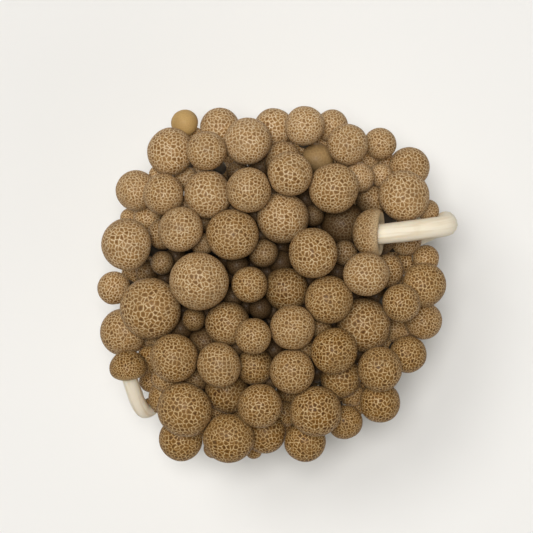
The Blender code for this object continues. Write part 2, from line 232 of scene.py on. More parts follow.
@dataclass
class Crowd:
    """Where every cap and stem lies, by the same rule as in the solids.

    The caps start at the seats read from above and are worked free of each other and of the
    stems beside them. Sizes are in metres, and shares are of a cap's radius. The two handles that
    bend a stem are shares of its way and of its rise, and neck is how far under its cap it runs
    straight, as a share and a length. In easing and stem_firmness the second value is for the calm
    rounds. Those end once caps and stems overlap by less than the two lengths of rest.
    """

    crown_top: float = CROWN_TOP
    rim_radius: float = RIM_RADIUS
    rim_drop: float = RIM_DROP
    level_drop: float = 0.0055
    level_scatter: float = 0.0008
    rim_lean: float = 0.32
    lean_scatter: float = 0.09
    bend_scatter: float = 0.0006
    low_handle: Place = (0.10, 0.10, 0.46)
    high_handle: float = 0.40
    straight_end: float = 0.4
    neck: tuple[float, float] = (0.45, 0.001)
    foot_spread: float = 0.385
    cut_depth: float = 0.002
    seat_level: float = -0.10
    stem_gap: float = 0.0003
    clearance: float = 0.0005
    smallest_loose_cap: float = 0.00975
    deep_count: int = 9
    deep_level: float = 2.4
    deep_widths: tuple[float, float] = (0.0065, 0.0095)
    deep_reach: float = 0.044
    deep_tuck: float = 0.0025
    stem_nodes: int = 10
    settling_rounds: int = 420
    calm_rounds: int = 120
    pull_home: Place = (0.10, 0.10, 0.015)
    easing: tuple[float, float] = (0.30, 0.08)
    firmness: float = 0.5
    stem_firmness: tuple[float, float] = (0.8, 0.3)
    stem_gives: float = 0.7
    cap_gives: float = 0.4
    end_carries: float = 0.35
    stem_clearances: float = 1.5
    stem_closeness: float = 0.92
    rest: tuple[float, float] = (0.00005, 0.00015)

    def __post_init__(self) -> None:
        """Draws the start and settles the crowd."""
        draw = np.random.default_rng(SEED)
        seen = self.with_deep_caps(np.array(UPPER_CAPS + MIDDLE_CAPS + LOWER_CAPS, float))
        bent = BENT_MUSHROOMS
        self.seats_mm = seen[:, :2]
        self.free = np.r_[np.ones(len(seen), bool), np.zeros(len(bent), bool)]
        self.width = np.r_[seen[:, 2], [one.width for one in bent]] * MM
        self.radius = self.width / 2
        self.stem = np.array([stem_radius(width) for width in self.width])
        self.stem[~self.free] = [one.stem * MM for one in bent]
        seats = seen[:, :2] * MM
        rise = np.array([cap_rise(width) for width in self.width[self.free]])
        outness = np.linalg.norm(seats, axis=1) / self.rim_radius
        sunk = self.rim_drop * outness ** 2 + self.level_drop * seen[:, 3]
        top = self.crown_top - sunk + draw.normal(0, self.level_scatter, len(seen))
        lean = seats / self.rim_radius * self.rim_lean
        lean = lean + draw.normal(0, self.lean_scatter, seats.shape)
        self.axis = unit(np.r_[np.c_[lean, np.ones(len(seen))], [one.facing for one in bent]])
        self.centre = np.r_[np.c_[seats, top - rise], np.array([one.middle for one in bent]) * MM]
        self.target = self.centre.copy()
        sway = np.sin(np.linspace(0, math.pi, self.stem_nodes))[None, :, None]
        self.bend = np.zeros((len(self.width), self.stem_nodes, 3))
        self.bend[..., :2] = draw.normal(0, self.bend_scatter, (len(self.width), 1, 2)) * sway
        self.routes = self.rest_routes() + self.bend * self.free[:, None, None]
        self.loose = self.width >= self.smallest_loose_cap
        self.settle()

    def with_deep_caps(self, seen: np.ndarray) -> np.ndarray:
        """Adds small deep caps where the seen ones leave the widest gaps.

        Args:
            seen: rows of x, y, width and level, in millimetres.

        Returns:
            The same rows, and after them one for each deep cap.
        """
        steps = np.arange(-self.deep_reach, self.deep_reach, MM) / MM
        spots = np.stack(np.meshgrid(steps, steps), axis=-1).reshape(-1, 2)
        spots = spots[np.linalg.norm(spots, axis=1) < self.deep_reach / MM]
        rows = seen
        for _ in range(self.deep_count):
            apart = np.linalg.norm(spots[:, None] - rows[None, :, :2], axis=2) - rows[None, :, 2] / 2
            free = apart.min(axis=1)
            widest = int(free.argmax())
            width = float(np.clip(2 * free[widest] * MM + self.deep_tuck, *self.deep_widths)) / MM
            rows = np.vstack([rows, (*spots[widest], width, self.deep_level)])
        return rows

    def seat_under_cap(self) -> np.ndarray:
        """Where each stem ends, just under the flat middle of its cap."""
        return self.centre + self.axis * (self.seat_level * self.radius - self.stem_gap)[:, None]

    def rest_routes(self) -> np.ndarray:
        """The curve that each stem would take alone: upright at the foot and under its cap.

        Returns:
            The nodes of every stem.
        """
        low_end = np.full(len(self.target), -self.cut_depth)
        roots = np.c_[self.target[:, :2] * self.foot_spread, low_end]
        ends = self.seat_under_cap()
        rise = (ends - roots)[:, 2:]
        low = roots + (ends - roots) * self.low_handle
        high = ends - self.axis * self.high_handle * rise
        share = np.linspace(0, 1, self.stem_nodes)[None, :, None]
        routes = stem_curve([part[:, None] for part in (roots, low, high, ends)], share)
        for index, one in zip(np.flatnonzero(~self.free), BENT_MUSHROOMS):
            straight = ends[index] - self.axis[index] * self.straight_end * self.radius[index]
            way = [roots[index], *(np.array(one.passed)[::-1] * MM), straight, ends[index]]
            routes[index] = smooth_route(way, self.stem_nodes)
        return routes

    def part_caps(self) -> float:
        """Moves each pair of caps that meet apart.

        Returns:
            How far the worst pair overlaps.
        """
        others = 1 - np.eye(len(self.centre))
        between = self.centre[:, None] - self.centre[None]
        distance = np.linalg.norm(between, axis=2) + np.eye(len(self.centre))
        need = self.radius[:, None] + self.radius[None] + self.clearance
        push = np.where(distance < need, need - distance, 0) * others
        share = np.where(self.free[None], 0.5, 1.0) * self.free[:, None]
        self.centre += self.firmness * (
            between / distance[..., None] * (push * share)[..., None]).sum(axis=1)
        return float(push.max())

    def part_stems_from_caps(self) -> float:
        """Bends stems clear of the caps beside them.

        Returns:
            How far the worst stem overlaps a cap.
        """
        worst = 0.0
        shallow_below, level_first = 0.55, (1, 1, 0.3)
        middles = 0.5 * (self.routes[:, 1:] + self.routes[:, :-1])
        for points in (self.routes, middles):
            offset = points[:, :, None] - self.centre[None, None]
            along = np.einsum("skcx,cx->skc", offset, self.axis)
            below = np.where(along < 0, along * shallow_below, 0)
            stretched = offset + below[..., None] * self.axis[None, None]
            distance = np.linalg.norm(stretched, axis=3) + 1e-9
            apart = self.clearance * self.stem_clearances
            need = self.radius[None, None] + self.stem[:, None, None] + apart
            push = np.where(distance < need, need - distance, 0)
            push[np.arange(len(push)), :, np.arange(len(push))] = 0
            worst = max(worst, float(push.max()))
            move = unit(stretched * level_first) * push[..., None]
            on_stem = self.firmness * self.stem_gives * move.sum(axis=2) * self.free[:, None, None]
            if points is middles:
                self.routes[:, 1:] += 0.5 * on_stem
                self.routes[:, :-1] += 0.5 * on_stem
            else:
                self.routes += on_stem
            self.centre -= self.firmness * self.cap_gives * move.sum(axis=(0, 1)) * self.free[:, None]
            self.centre += self.end_carries * on_stem[:, -3:].sum(axis=1)
        return worst

    def part_stems(self, firmness: float) -> None:
        """Keeps the upper stems side by side, so that they don't run through each other.

        Args:
            firmness: how much of an overlap is taken away at once.
        """
        need = self.stem_closeness * (self.stem[:, None] + self.stem[None])
        others = 1 - np.eye(len(need))
        for node in range(3, self.stem_nodes - 1):
            points = self.routes[:, node]
            between = (points[:, None] - points[None]) * (1, 1, 0.5)
            distance = np.linalg.norm(between, axis=2) + np.eye(len(points))
            push = np.where(distance < need, need - distance, 0) * others
            step = (between / distance[..., None] * push[..., None]).sum(axis=1)
            self.routes[:, node] += firmness * 0.5 * step * self.free[:, None]

    def tie_ends(self) -> None:
        """Keeps each stem's end straight under its cap."""
        self.routes[:, -1] = self.seat_under_cap()
        share, further = self.neck
        self.routes[:, -2] = self.centre - self.axis * (share * self.radius + further)[:, None]

    def settle(self) -> None:
        """Works the caps and stems free of each other, then lets them rest."""
        for turn in range(self.settling_rounds + self.calm_rounds):
            calm = turn >= self.settling_rounds
            if not calm:
                self.centre += (self.target - self.centre) * self.pull_home * self.free[:, None]
            middle = 0.5 * (self.bend[:, 2:] + self.bend[:, :-2])
            self.bend[:, 1:-1] += self.easing[calm] * (middle - self.bend[:, 1:-1])
            self.bend[:, :2] = 0
            self.routes = self.rest_routes() + self.bend * self.free[:, None, None]
            self.part_stems(self.stem_firmness[calm])
            self.tie_ends()
            stem_worst = self.part_stems_from_caps()
            cap_worst = self.part_caps()
            self.bend = self.routes - self.rest_routes()
            if calm and cap_worst < self.rest[0] and stem_worst < self.rest[1]:
                break
        self.tie_ends()

    def look_of(self, index: int) -> CapLook:
        """The kind of skin that a cap has; the bent mushrooms, which have no seat, are marbled."""
        seat = tuple(self.seats_mm[index]) if index < len(self.seats_mm) else None
        return ODD_CAPS.get(seat, CapLook.MARBLED)


@dataclass(frozen=True)
class Cap:
    """One cap where it settled, in metres, with the planes that its neighbours press on it.

    Each plane is a direction and how far out it lies from the cap's centre.
    """

    centre: Place
    axis: Place
    width: float
    stem: float
    look: CapLook
    seed: int
    pressed: tuple[tuple[Place, float], ...] = ()

    @property
    def matrix(self) -> Matrix:
        """Carries a cap that was modelled on +Z to its place."""
        turn = Vector((0, 0, 1)).rotation_difference(Vector(self.axis))
        return Matrix.Translation(Vector(self.centre)) @ turn.to_matrix().to_4x4()


@dataclass(frozen=True)
class PaintedShade:
    """Painted shade: how deep inside the crowd a point lies, where little light reaches it."""

    crown_top: float = CROWN_TOP
    rim_radius: float = RIM_RADIUS
    rim_drop: float = RIM_DROP
    starts: float = 0.004
    deepens: float = 0.012
    skin_deep: float = 0.009
    roofed_from: float = 0.25
    most_roofed: float = 0.95
    roof_reach: float = 0.048
    roof_fades: float = 0.005
    foot_top: float = 0.014
    foot_fades: float = 0.012
    heights: tuple[float, ...] = (0.0, 0.015, 0.040, 0.060, 0.075)
    reaches: tuple[float, ...] = (0.020, 0.021, 0.034, 0.050, 0.054)

    def at(self, point: Vector, upward: float = 0.0) -> float:
        """How much painted shade a place gets.

        Args:
            point: the place.
            upward: how far the surface there faces up, 1 where it lies level. What faces up under
                the caps gets no light from the side.

        Returns:
            0 where it lies open, up to 1 deep between the mushrooms.
        """
        out = math.hypot(point.x, point.y)
        canopy = self.crown_top - self.rim_drop * (out / self.rim_radius) ** 2
        sunk = clipped((canopy - point.z - self.starts) / self.deepens)
        inside = (float(np.interp(point.z, self.heights, self.reaches)) - out) / self.skin_deep
        roofed = min(clipped(upward / self.roofed_from), self.most_roofed)
        roofed *= clipped((self.roof_reach - out) / self.roof_fades)
        above_foot = clipped((point.z - self.foot_top) / self.foot_fades)
        # The share of painted shade: deep in the crowd, or facing up under the caps, fading out towards
        # the foot.
        return sunk * max(min(inside, 1.0), roofed) * above_foot


def finish_mesh(
        name: str, shape: bmesh.types.BMesh, material: bpy.types.Material) -> bpy.types.Object:
    """Turns a bmesh into a piece at the origin, shaded smooth, with its faces pointing out.

    Args:
        name: the piece's name.
        shape: the mesh in world places; it is freed.
        material: the piece's material.

    Returns:
        The new object.
    """
    bmesh.ops.remove_doubles(shape, verts=shape.verts, dist=MERGED)
    bmesh.ops.recalc_face_normals(shape, faces=shape.faces)
    mesh = bpy.data.meshes.new(name)
    shape.to_mesh(mesh)
    shape.free()
    mesh.materials.append(material)
    mesh.shade_smooth()
    piece = bpy.data.objects.new(name, mesh)
    bpy.context.scene.collection.objects.link(piece)
    return piece


def spin_profile(
        shape: bmesh.types.BMesh, profile: Sequence[tuple[float, float]], sides: int) -> None:
    """Spins a profile of (radius, height) points round +Z.

    Args:
        shape: the bmesh that gets the turned surface.
        profile: the points, from the top to the bottom.
        sides: how many steps the turn has.
    """
    points = [shape.verts.new((radius, 0, height)) for radius, height in profile]
    edges = [shape.edges.new(pair) for pair in zip(points, points[1:])]
    bmesh.ops.spin(
        shape, geom=points + edges, cent=(0, 0, 0), axis=(0, 0, 1), dvec=(0, 0, 0),
        angle=2 * math.pi, steps=sides, use_merge=True,
    )
    bmesh.ops.remove_doubles(shape, verts=shape.verts, dist=MERGED)


def close_ends(shape: bmesh.types.BMesh) -> None:
    """Fills every opening of a bmesh with one face."""
    open_ends = [edge for edge in shape.edges if edge.is_boundary]
    bmesh.ops.holes_fill(shape, edges=open_ends, sides=0)


def cut_level(mesh: bpy.types.Mesh, level: float, keep_above: bool) -> bmesh.types.BMesh:
    """Cuts a closed mesh at a level and closes the cut.

    Args:
        mesh: the mesh, which stays as it is.
        level: the height of the cut.
        keep_above: whether the upper part is kept, or else the lower.

    Returns:
        The kept part, which the caller frees.
    """
    shape = bmesh.new()
    shape.from_mesh(mesh)
    bmesh.ops.bisect_plane(
        shape, geom=[*shape.verts, *shape.edges, *shape.faces], dist=MERGED / 5,
        plane_co=(0, 0, level), plane_no=(0, 0, 1),
        clear_inner=keep_above, clear_outer=not keep_above)
    close_ends(shape)
    return shape


def apply_modifiers(piece: bpy.types.Object) -> None:
    """Puts the shape that a piece's modifiers give it into its mesh.

    Args:
        piece: the piece.
    """
    graph = bpy.context.evaluated_depsgraph_get()
    made = bpy.data.meshes.new_from_object(piece.evaluated_get(graph))
    piece.modifiers.clear()
    piece.data = made


@dataclass
class CapModeller:
    """Models caps: a domed skin, a margin rolled under and thin gills that run to the stem.

    Shares are of the cap's radius, and the rest is in metres. Skin turns golden along golden_way,
    own_tint of it by chance, and marblings are the net's least strength and what chance adds.
    stretch says how the skin is laid out flat: evenly, and more and more towards the margin.
    """

    gill_gap: float = 0.00112
    fewest_gills: int = 20
    most_gills: int = 48
    dome_rings: int = 13
    under_rings: int = 7
    gill_start: float = 0.80
    gill_level: float = -0.29
    gill_depth: float = 0.15
    gill_arch: float = 0.6
    short_gill: float = 0.55
    hollow: float = 0.55
    seat_level: float = -0.08
    seat_in_stem: float = 0.8
    wobble: float = 0.024
    wobble_sizes: tuple[float, float] = (1.15, 2.9)
    fine_wobble: float = 0.35
    oval: float = 0.014
    press_ease: float = 0.0003
    usual_width: float = 0.0125
    golden_way: tuple[float, float] = (0.15, -0.94)
    crowd_width: float = 0.11
    own_tint: float = 0.25
    marblings: tuple[float, float] = (0.92, 0.08)
    cell_sizes: tuple[float, float] = (0.92, 1.1)
    gills_from: float = 0.875
    gills_fade: float = 0.06
    stretch: tuple[float, float] = (0.75, 0.5)
    farthest_turn: float = math.radians(118)
    # The painted shade that skin deep between the caps gets.
    painted_shade: PaintedShade = PaintedShade()
    margin: tuple[tuple[float, float], ...] = (
        (0.992, -0.09), (0.968, -0.18), (0.928, -0.26), (0.875, -0.315), (0.835, -0.322),
    )

    def profile(self, cap: Cap) -> list[tuple[float, float]]:
        """The cap's outline, from the crown over the margin to the stem.

        Args:
            cap: the cap.

        Returns:
            Its points as (radius, height).
        """
        radius, rise = cap.width / 2, cap_rise(cap.width)
        angles = np.linspace(0, math.pi / 2, self.dome_rings)
        dome = [(radius * math.sin(angle), rise * math.cos(angle)) for angle in angles]
        margin = [(radius * out, radius * level) for out, level in self.margin]
        inner = self.seat_in_stem * cap.stem
        under = []
        for share in np.linspace(0, 1, self.under_rings):
            out = self.gill_start * radius * (1 - share) + inner * share
            level = self.gill_level + (self.seat_level - self.gill_level) * share ** self.hollow
            under.append((out, level * radius))
        return dome + margin + under

    def gills(self, cap: Cap) -> int:
        """How many gills the cap has, long and short together, always an even number."""
        count = round(2 * math.pi * self.gill_start * cap.width / 2 / self.gill_gap / 2) * 2
        return int(np.clip(count, self.fewest_gills, self.most_gills))

    def fold_gills(self, shape: bmesh.types.BMesh, cap: Cap, sides: int) -> None:
        """Draws every third line of the underside down into a gill, and cuts every other one short.

        Args:
            shape: the cap, modelled on +Z.
            cap: its sizes.
            sides: how many lines the underside has.
        """
        radius, inner = cap.width / 2, self.seat_in_stem * cap.stem
        for vertex in shape.verts:
            out = math.hypot(vertex.co.x, vertex.co.y)
            on_underside = vertex.co.z < 0 and out < (self.gill_start + 0.005) * radius
            if not on_underside:
                continue
            line = round(math.atan2(vertex.co.y, vertex.co.x) / (2 * math.pi / sides)) % sides
            if line % 3 or (line % 2 and out < self.short_gill * radius):
                continue
            share = (out - inner) / (self.gill_start * radius - inner)
            arch = math.sin(math.pi * clipped(share)) ** self.gill_arch
            vertex.co.z -= self.gill_depth * radius * arch

    def wobble_skin(self, shape: bmesh.types.BMesh, cap: Cap) -> None:
        """Makes the cap slightly oval and uneven, as grown ones are.

        Args:
            shape: the cap, modelled on +Z.
            cap: its sizes and seed.
        """
        draw = np.random.default_rng(cap.seed)
        where = Vector(draw.uniform(-50, 50, 3))
        lie, oval = draw.uniform(0, math.pi), draw.normal(0, self.oval)
        for vertex in shape.verts:
            way = vertex.co.normalized()
            swell = self.wobble * noise.noise(way * self.wobble_sizes[0] + where)
            swell += self.fine_wobble * self.wobble * noise.noise(way * self.wobble_sizes[1] + where)
            swell += oval * math.cos(2 * (math.atan2(way.y, way.x) - lie)) * (1 - way.z ** 2)
            vertex.co *= 1 + swell

    def press_flat(self, shape: bmesh.types.BMesh, cap: Cap) -> None:
        """Flattens the cap softly where it leans on its neighbours.

        Args:
            shape: the cap in its place.
            cap: what presses on it.
        """
        for way, reach in cap.pressed:
            normal = Vector(way)
            for vertex in shape.verts:
                over = (vertex.co - Vector(cap.centre)).dot(normal) - reach + self.press_ease
                if over > 0:
                    held = self.press_ease * (1 - math.exp(-over / self.press_ease))
                    vertex.co += normal * (held - over)

    def mark_skin(self, shape: bmesh.types.BMesh, cap: Cap) -> None:
        """Writes what the skin's material reads.

        That is the height on the dome, the underside, the cap's tint and marbling, its cell size, the
        share of painted shade deep between the caps, and skin_place: the skin laid out flat from the
        crown, on which the net is drawn, finer towards the margin.

        Args:
            shape: the cap, modelled on +Z.
            cap: its place, sizes, look and seed.
        """
        draw = np.random.default_rng(cap.seed + 7)
        ahead = float(np.dot(cap.centre[:2], self.golden_way)) / self.crowd_width + 0.5
        tint = clipped((1 - self.own_tint) * ahead + self.own_tint * float(draw.uniform(0, 1)))
        marbling = self.marblings[0] + self.marblings[1] * float(draw.uniform(0, 1))
        tint, marbling = ODD_SKINS.get(cap.look, (tint, marbling))
        radius, rise = cap.width / 2, cap_rise(cap.width)
        cell_size = math.sqrt(cap.width / self.usual_width) * float(draw.uniform(*self.cell_sizes))
        names = ("crown", "under", "tint", "marbling", "cell_size", "painted_shade")
        for name in names:
            shape.verts.layers.float.new(name)
        skin_place = shape.verts.layers.float_vector.new("skin_place")
        layers = [shape.verts.layers.float[name] for name in names]
        own_corner = Vector((*draw.uniform(0, 1, 2), 0))
        for vertex in shape.verts:
            out = math.hypot(vertex.co.x, vertex.co.y) / radius
            level = vertex.co.z
            crown = level / rise if level > 0 else level / radius
            turn = min(math.atan2(out, crown), self.farthest_turn)
            along_skin = radius * (self.stretch[0] * turn + self.stretch[1] * math.tan(turn / 2))
            way = Vector((vertex.co.x, vertex.co.y, 0)).normalized()
            vertex[skin_place] = own_corner + way * along_skin
            under = clipped((self.gills_from - out) / self.gills_fade) if level < -0.02 * radius else 0.0
            # Painted shade: how much darkness is painted on the skin deep between the caps.
            depth = self.painted_shade.at(cap.matrix @ vertex.co)
            for layer, value in zip(layers, (crown, under, tint, marbling, cell_size, depth)):
                vertex[layer] = value

    def shape(self, cap: Cap) -> bmesh.types.BMesh:
        """One finished cap in its place.

        Args:
            cap: its place, size and look.

        Returns:
            A closed bmesh, which the caller frees.
        """
        shape = bmesh.new()
        sides = 3 * self.gills(cap)
        spin_profile(shape, self.profile(cap), sides)
        rim = [edge for edge in shape.edges if edge.is_boundary]
        bmesh.ops.contextual_create(shape, geom=rim)
        self.fold_gills(shape, cap, sides)
        self.mark_skin(shape, cap)
        self.wobble_skin(shape, cap)
        bmesh.ops.transform(shape, matrix=cap.matrix, verts=shape.verts)
        self.press_flat(shape, cap)
        return shape

    def add_to(self, whole: bmesh.types.BMesh, cap: Cap) -> None:
        """Adds one cap to a bmesh that holds several.

        Args:
            whole: the bmesh.
            cap: the cap's place, size and look.
        """
        one = self.shape(cap)
        held = bpy.data.meshes.new("cap in hand")
        one.to_mesh(held)
        one.free()
        whole.from_mesh(held)
        bpy.data.meshes.remove(held)


@dataclass(frozen=True)
class Stalk:
    """A stem's line: its points, a frame at each, its radius at each, and its length so far."""

    SWELL: ClassVar[float] = 0.055
    SWELLS_PER_METRE: ClassVar[float] = 95
    EDGE_ROOM: ClassVar[float] = 1.03

    points: np.ndarray
    along: np.ndarray
    across: np.ndarray
    radii: np.ndarray
    lengths: np.ndarray

    @classmethod
    def through(cls, route: np.ndarray, radii: np.ndarray, count: int) -> "Stalk":
        """A smooth stalk through a route's nodes.

        Args:
            route: the nodes, from the foot to the cap.
            radii: the radius at each node.
            count: how many points the stalk gets.

        Returns:
            The stalk.
        """
        ends = np.vstack([2 * route[0] - route[1], route, 2 * route[-1] - route[-2]])
        points = []
        for place in np.linspace(0, len(route) - 1, count):
            start = min(int(place), len(route) - 2)
            t = place - start
            a, b, c, d = ends[start:start + 4]
            curve = (2 * a - 5 * b + 4 * c - d) * t ** 2 + (3 * b - a - 3 * c + d) * t ** 3
            points.append(0.5 * (2 * b + (c - a) * t + curve))
        sizes = np.interp(np.linspace(0, len(route) - 1, count), np.arange(len(route)), radii)
        line = np.array(points)
        swells = [noise.noise(Vector(point) * cls.SWELLS_PER_METRE) for point in line]
        sizes = sizes * (1 + cls.SWELL * np.array(swells))
        reach = cls.EDGE_ROOM * sizes[:, None]
        low, high = (np.array(corner)[:2] for corner in CAD_BOX)
        line[:, :2] = np.clip(line[:, :2], low + reach, high - reach)
        along = unit(np.gradient(line, axis=0))
        side = unit(np.cross(along[0], (0.3, 0.9, 0.1)))
        across = []
        for way in along:
            side = unit(side - way * float(side @ way))
            across.append(side)
        lengths = np.r_[0, np.cumsum(np.linalg.norm(np.diff(line, axis=0), axis=1))]
        return cls(line, along, np.array(across), sizes, lengths)

    def place_of(self, index: int) -> Matrix:
        """Carries a flat ring on the ground to one of the stalk's points, square to the stalk.

        Args:
            index: the point's number.

        Returns:
            The matrix that does so.
        """
        side, way = Vector(self.across[index]), Vector(self.along[index])
        turn = Matrix((side, way.cross(side), way)).transposed().to_4x4()
        return Matrix.Translation(Vector(self.points[index])) @ turn

    def step_to(self, index: int) -> Matrix:
        """Carries the ring before this one to it, and swells or shrinks it to its radius."""
        resize = Matrix.Scale(self.radii[index] / self.radii[index - 1], 4)
        return self.place_of(index) @ resize @ self.place_of(index - 1).inverted()


@dataclass
class Sheaf:
    """The pale stems, fused where they run together, and the foot that they grow from.

    A stem is as thick as taper says at the shares of its length in taper_at. Each of core_lobes is
    a size, a count round the core and the angle that it starts at.
    """

    crowd: Crowd
    sides: int = 16
    rings: int = 26
    bent_rings: int = 72
    slimming: float = 0.97
    taper_at: tuple[float, ...] = (0, 0.35, 1)
    taper: tuple[float, ...] = (1.12, 1.06, 0.88)
    bent_taper: tuple[float, ...] = (1.12, 1.06, 0.97)
    into_cap: float = 0.0009
    ripple: float = 0.00010
    ripples_per_metre: float = 420
    fibre_shift: float = 0.013
    foot_radius: float = FOOT_RADIUS
    foot_height: float = FOOT_HEIGHT
    core_top: float = 0.040
    core_sides: int = 72
    core_lobes: tuple[tuple[float, int, float], ...] = ((0.030, 5, 0.7), (0.022, 9, 2.1))
    core_oval: tuple[float, float] = (1.04, 0.97)
    foot_top: float = 0.024
    foot_voxel: float = 0.00055
    lump: float = 0.00022
    lumps_per_metre: float = 300
    stems_from: float = 0.0015
    # The painted shade that flesh deep in the crowd gets.
    painted_shade: PaintedShade = PaintedShade()
    stalks: list[Stalk] = field(default_factory=list)

    def __post_init__(self) -> None:
        """Lays a stalk through every stem's route."""
        nodes = np.linspace(0, 1, self.crowd.stem_nodes)
        upright = np.interp(nodes, self.taper_at, self.taper) * self.slimming
        bent = np.interp(nodes, self.taper_at, self.bent_taper) * self.slimming
        crowd = self.crowd
        for route, radius, axis, free in zip(crowd.routes, crowd.stem, crowd.axis, crowd.free):
            way = route.copy()
            way[-1] = way[-1] + axis * self.into_cap
            profile, rings = (upright, self.rings) if free else (bent, self.bent_rings)
            self.stalks.append(Stalk.through(way, radius * profile, rings))

    def stalk_shape(self, stalk: Stalk, sides: int) -> bmesh.types.BMesh:
        """A closed round stalk: a circle extruded from ring to ring and capped.

        Args:
            stalk: its line.
            sides: points round it.

        Returns:
            A bmesh, which the caller frees.
        """
        shape = bmesh.new()
        bmesh.ops.create_circle(
            shape, segments=sides, radius=stalk.radii[0], matrix=stalk.place_of(0))
        ring = list(shape.edges)
        for index in range(1, len(stalk.points)):
            made = bmesh.ops.extrude_edge_only(shape, edges=ring)["geom"]
            moved = [item for item in made if isinstance(item, bmesh.types.BMVert)]
            sides_made = [item for item in made if isinstance(item, bmesh.types.BMEdge)]
            ring = [edge for edge in sides_made if set(edge.verts) <= set(moved)]
            bmesh.ops.transform(shape, matrix=stalk.step_to(index), verts=moved)
        close_ends(shape)
        bmesh.ops.recalc_face_normals(shape, faces=shape.faces)
        for vertex in shape.verts:
            bump = noise.noise(vertex.co * self.ripples_per_metre)
            vertex.co += vertex.normal * self.ripple * bump
        return shape

    def core_shape(self) -> bmesh.types.BMesh:
        """The middle of the sheaf, lobed where stems run into it.

        Returns:
            A closed bmesh, which the caller frees.
        """
        shape = bmesh.new()
        foot, height, top, cut = self.foot_radius, self.foot_height, self.core_top, -self.crowd.cut_depth
        profile = (
            (0, top), (0.007, top - 0.0004), (0.012, top - 0.001), (0.016, top - 0.004),
            (0.020, top - 0.009), (foot - 0.0025, height), (foot - 0.0015, height * 0.5),
            (foot - 0.003, cut), (0, cut),
        )
        spin_profile(shape, profile, self.core_sides)
        for vertex in shape.verts:
            x, y, z = vertex.co
            angle = math.atan2(y, x)
            lobes = sum(size * math.sin(count * angle + start) for size, count, start in self.core_lobes)
            vertex.co = (x * (self.core_oval[0] + lobes), y * (self.core_oval[1] + lobes), z)
        return shape

    def fused(self, name: str, material: bpy.types.Material) -> bpy.types.Object:
        """Every stalk and the core as one closed body.

        Args:
            name: the body's name.
            material: the body's material.

        Returns:
            The new piece.
        """
        body = finish_mesh(name, self.core_shape(), material)
        held = bpy.data.collections.new("stalks in hand")
        bpy.context.scene.collection.children.link(held)
        for index, stalk in enumerate(self.stalks):
            shape = self.stalk_shape(stalk, self.sides)
            mesh = bpy.data.meshes.new(f"stalk in hand {index}")
            shape.to_mesh(mesh)
            shape.free()
            held.objects.link(bpy.data.objects.new(mesh.name, mesh))
        join = body.modifiers.new("join stalks", "BOOLEAN")
        join.operation, join.operand_type, join.solver = "UNION", "COLLECTION", "MANIFOLD"
        join.collection = held
        apply_modifiers(body)
        for obj in list(held.objects):
            bpy.data.objects.remove(obj)
        bpy.data.collections.remove(held)
        return body

    def mark_fibres(self, piece: bpy.types.Object) -> None:
        """Writes each point's place on its own stalk, so that fibres can run along it, its height on
        the stalk, and its share of painted shade deep in the crowd.

        Args:
            piece: the stems, or the foot.
        """
        most = self.bent_rings
        tree = kdtree.KDTree(len(self.stalks) * most)
        for number, stalk in enumerate(self.stalks):
            for index, point in enumerate(stalk.points):
                tree.insert(point, number * most + index)
        tree.balance()
        mesh = piece.data
        places, heights = [], []
        # Painted shade: flesh deep in the crowd, and what faces up under the caps, is painted dark.
        painted_shade_values = [self.painted_shade.at(vertex.co, vertex.normal.z) for vertex in mesh.vertices]
        mesh.attributes.new("painted_shade", "FLOAT", "POINT").data.foreach_set("value", painted_shade_values)
        for vertex in mesh.vertices:
            _, found, _ = tree.find(vertex.co)
            number, index = divmod(found, most)
            stalk = self.stalks[number]
            away = np.array(vertex.co) - stalk.points[index]
            along, side = stalk.along[index], stalk.across[index]
            front = np.cross(along, side)
            length = stalk.lengths[index] + float(away @ along)
            places.extend((float(away @ side) + self.fibre_shift * number, float(away @ front), length))
            heights.append(length / stalk.lengths[-1])
        mesh.attributes.new("fibre", "FLOAT_VECTOR", "POINT").data.foreach_set("vector", places)
        mesh.attributes.new("stem_height", "FLOAT", "POINT").data.foreach_set("value", heights)

    def stems(self, material: bpy.types.Material) -> bpy.types.Object:
        """The stems down to where the foot takes over.

        Args:
            material: the stems' material.

        Returns:
            The new piece.
        """
        piece = self.fused("pale_stems", material)
        shape = cut_level(piece.data, self.stems_from, keep_above=True)
        shape.to_mesh(piece.data)
        shape.free()
        self.mark_fibres(piece)
        piece.data.shade_smooth()
        return piece

    def foot(self, stems: bpy.types.Object, material: bpy.types.Material) -> bpy.types.Object:
        """The lumpy foot: the stems' lower ends run together, with one flat cut.

        Args:
            stems: the fused stems, which the foot is taken from.
            material: the foot's material.

        Returns:
            The new piece.
        """
        lower = cut_level(stems.data, self.foot_top, keep_above=False)
        piece = finish_mesh("cut_foot", lower, material)
        remesh = piece.modifiers.new("run together", "REMESH")
        remesh.mode = "VOXEL"
        remesh.voxel_size = self.foot_voxel
        apply_modifiers(piece)
        self.soften_foot(piece.data)
        self.mark_fibres(piece)
        piece.data.shade_smooth()
        return piece

    def soften_foot(self, mesh: bpy.types.Mesh) -> None:
        """Rounds the creases, swells the base, sinks the top under the stems and flattens the cut.

        Args:
            mesh: the foot's mesh.
        """
        shape = bmesh.new()
        shape.from_mesh(mesh)
        swell_at, swells = (0.002, 0.009, 0.017, self.foot_top), (0.0003, 0.00025, -0.0004, -0.0016)
        stretch = self.foot_top / (self.foot_top - self.stems_from)
        for _ in range(4):
            bmesh.ops.smooth_vert(
                shape, verts=shape.verts, factor=0.5, use_axis_x=True, use_axis_y=True, use_axis_z=True)
        shape.normal_update()
        for vertex in shape.verts:
            height = vertex.co.z
            outward = Vector((vertex.normal.x, vertex.normal.y, 0))
            lump = self.lump * noise.noise(vertex.co * self.lumps_per_metre)
            vertex.co += outward * (float(np.interp(height, swell_at, swells)) + lump)
            vertex.co.z = (height - self.stems_from) * stretch
            if vertex.co.z < 0.0007:
                vertex.co.z = max(0.0, 0.55 * vertex.co.z - 0.00012)
        shape.to_mesh(mesh)
        shape.free()


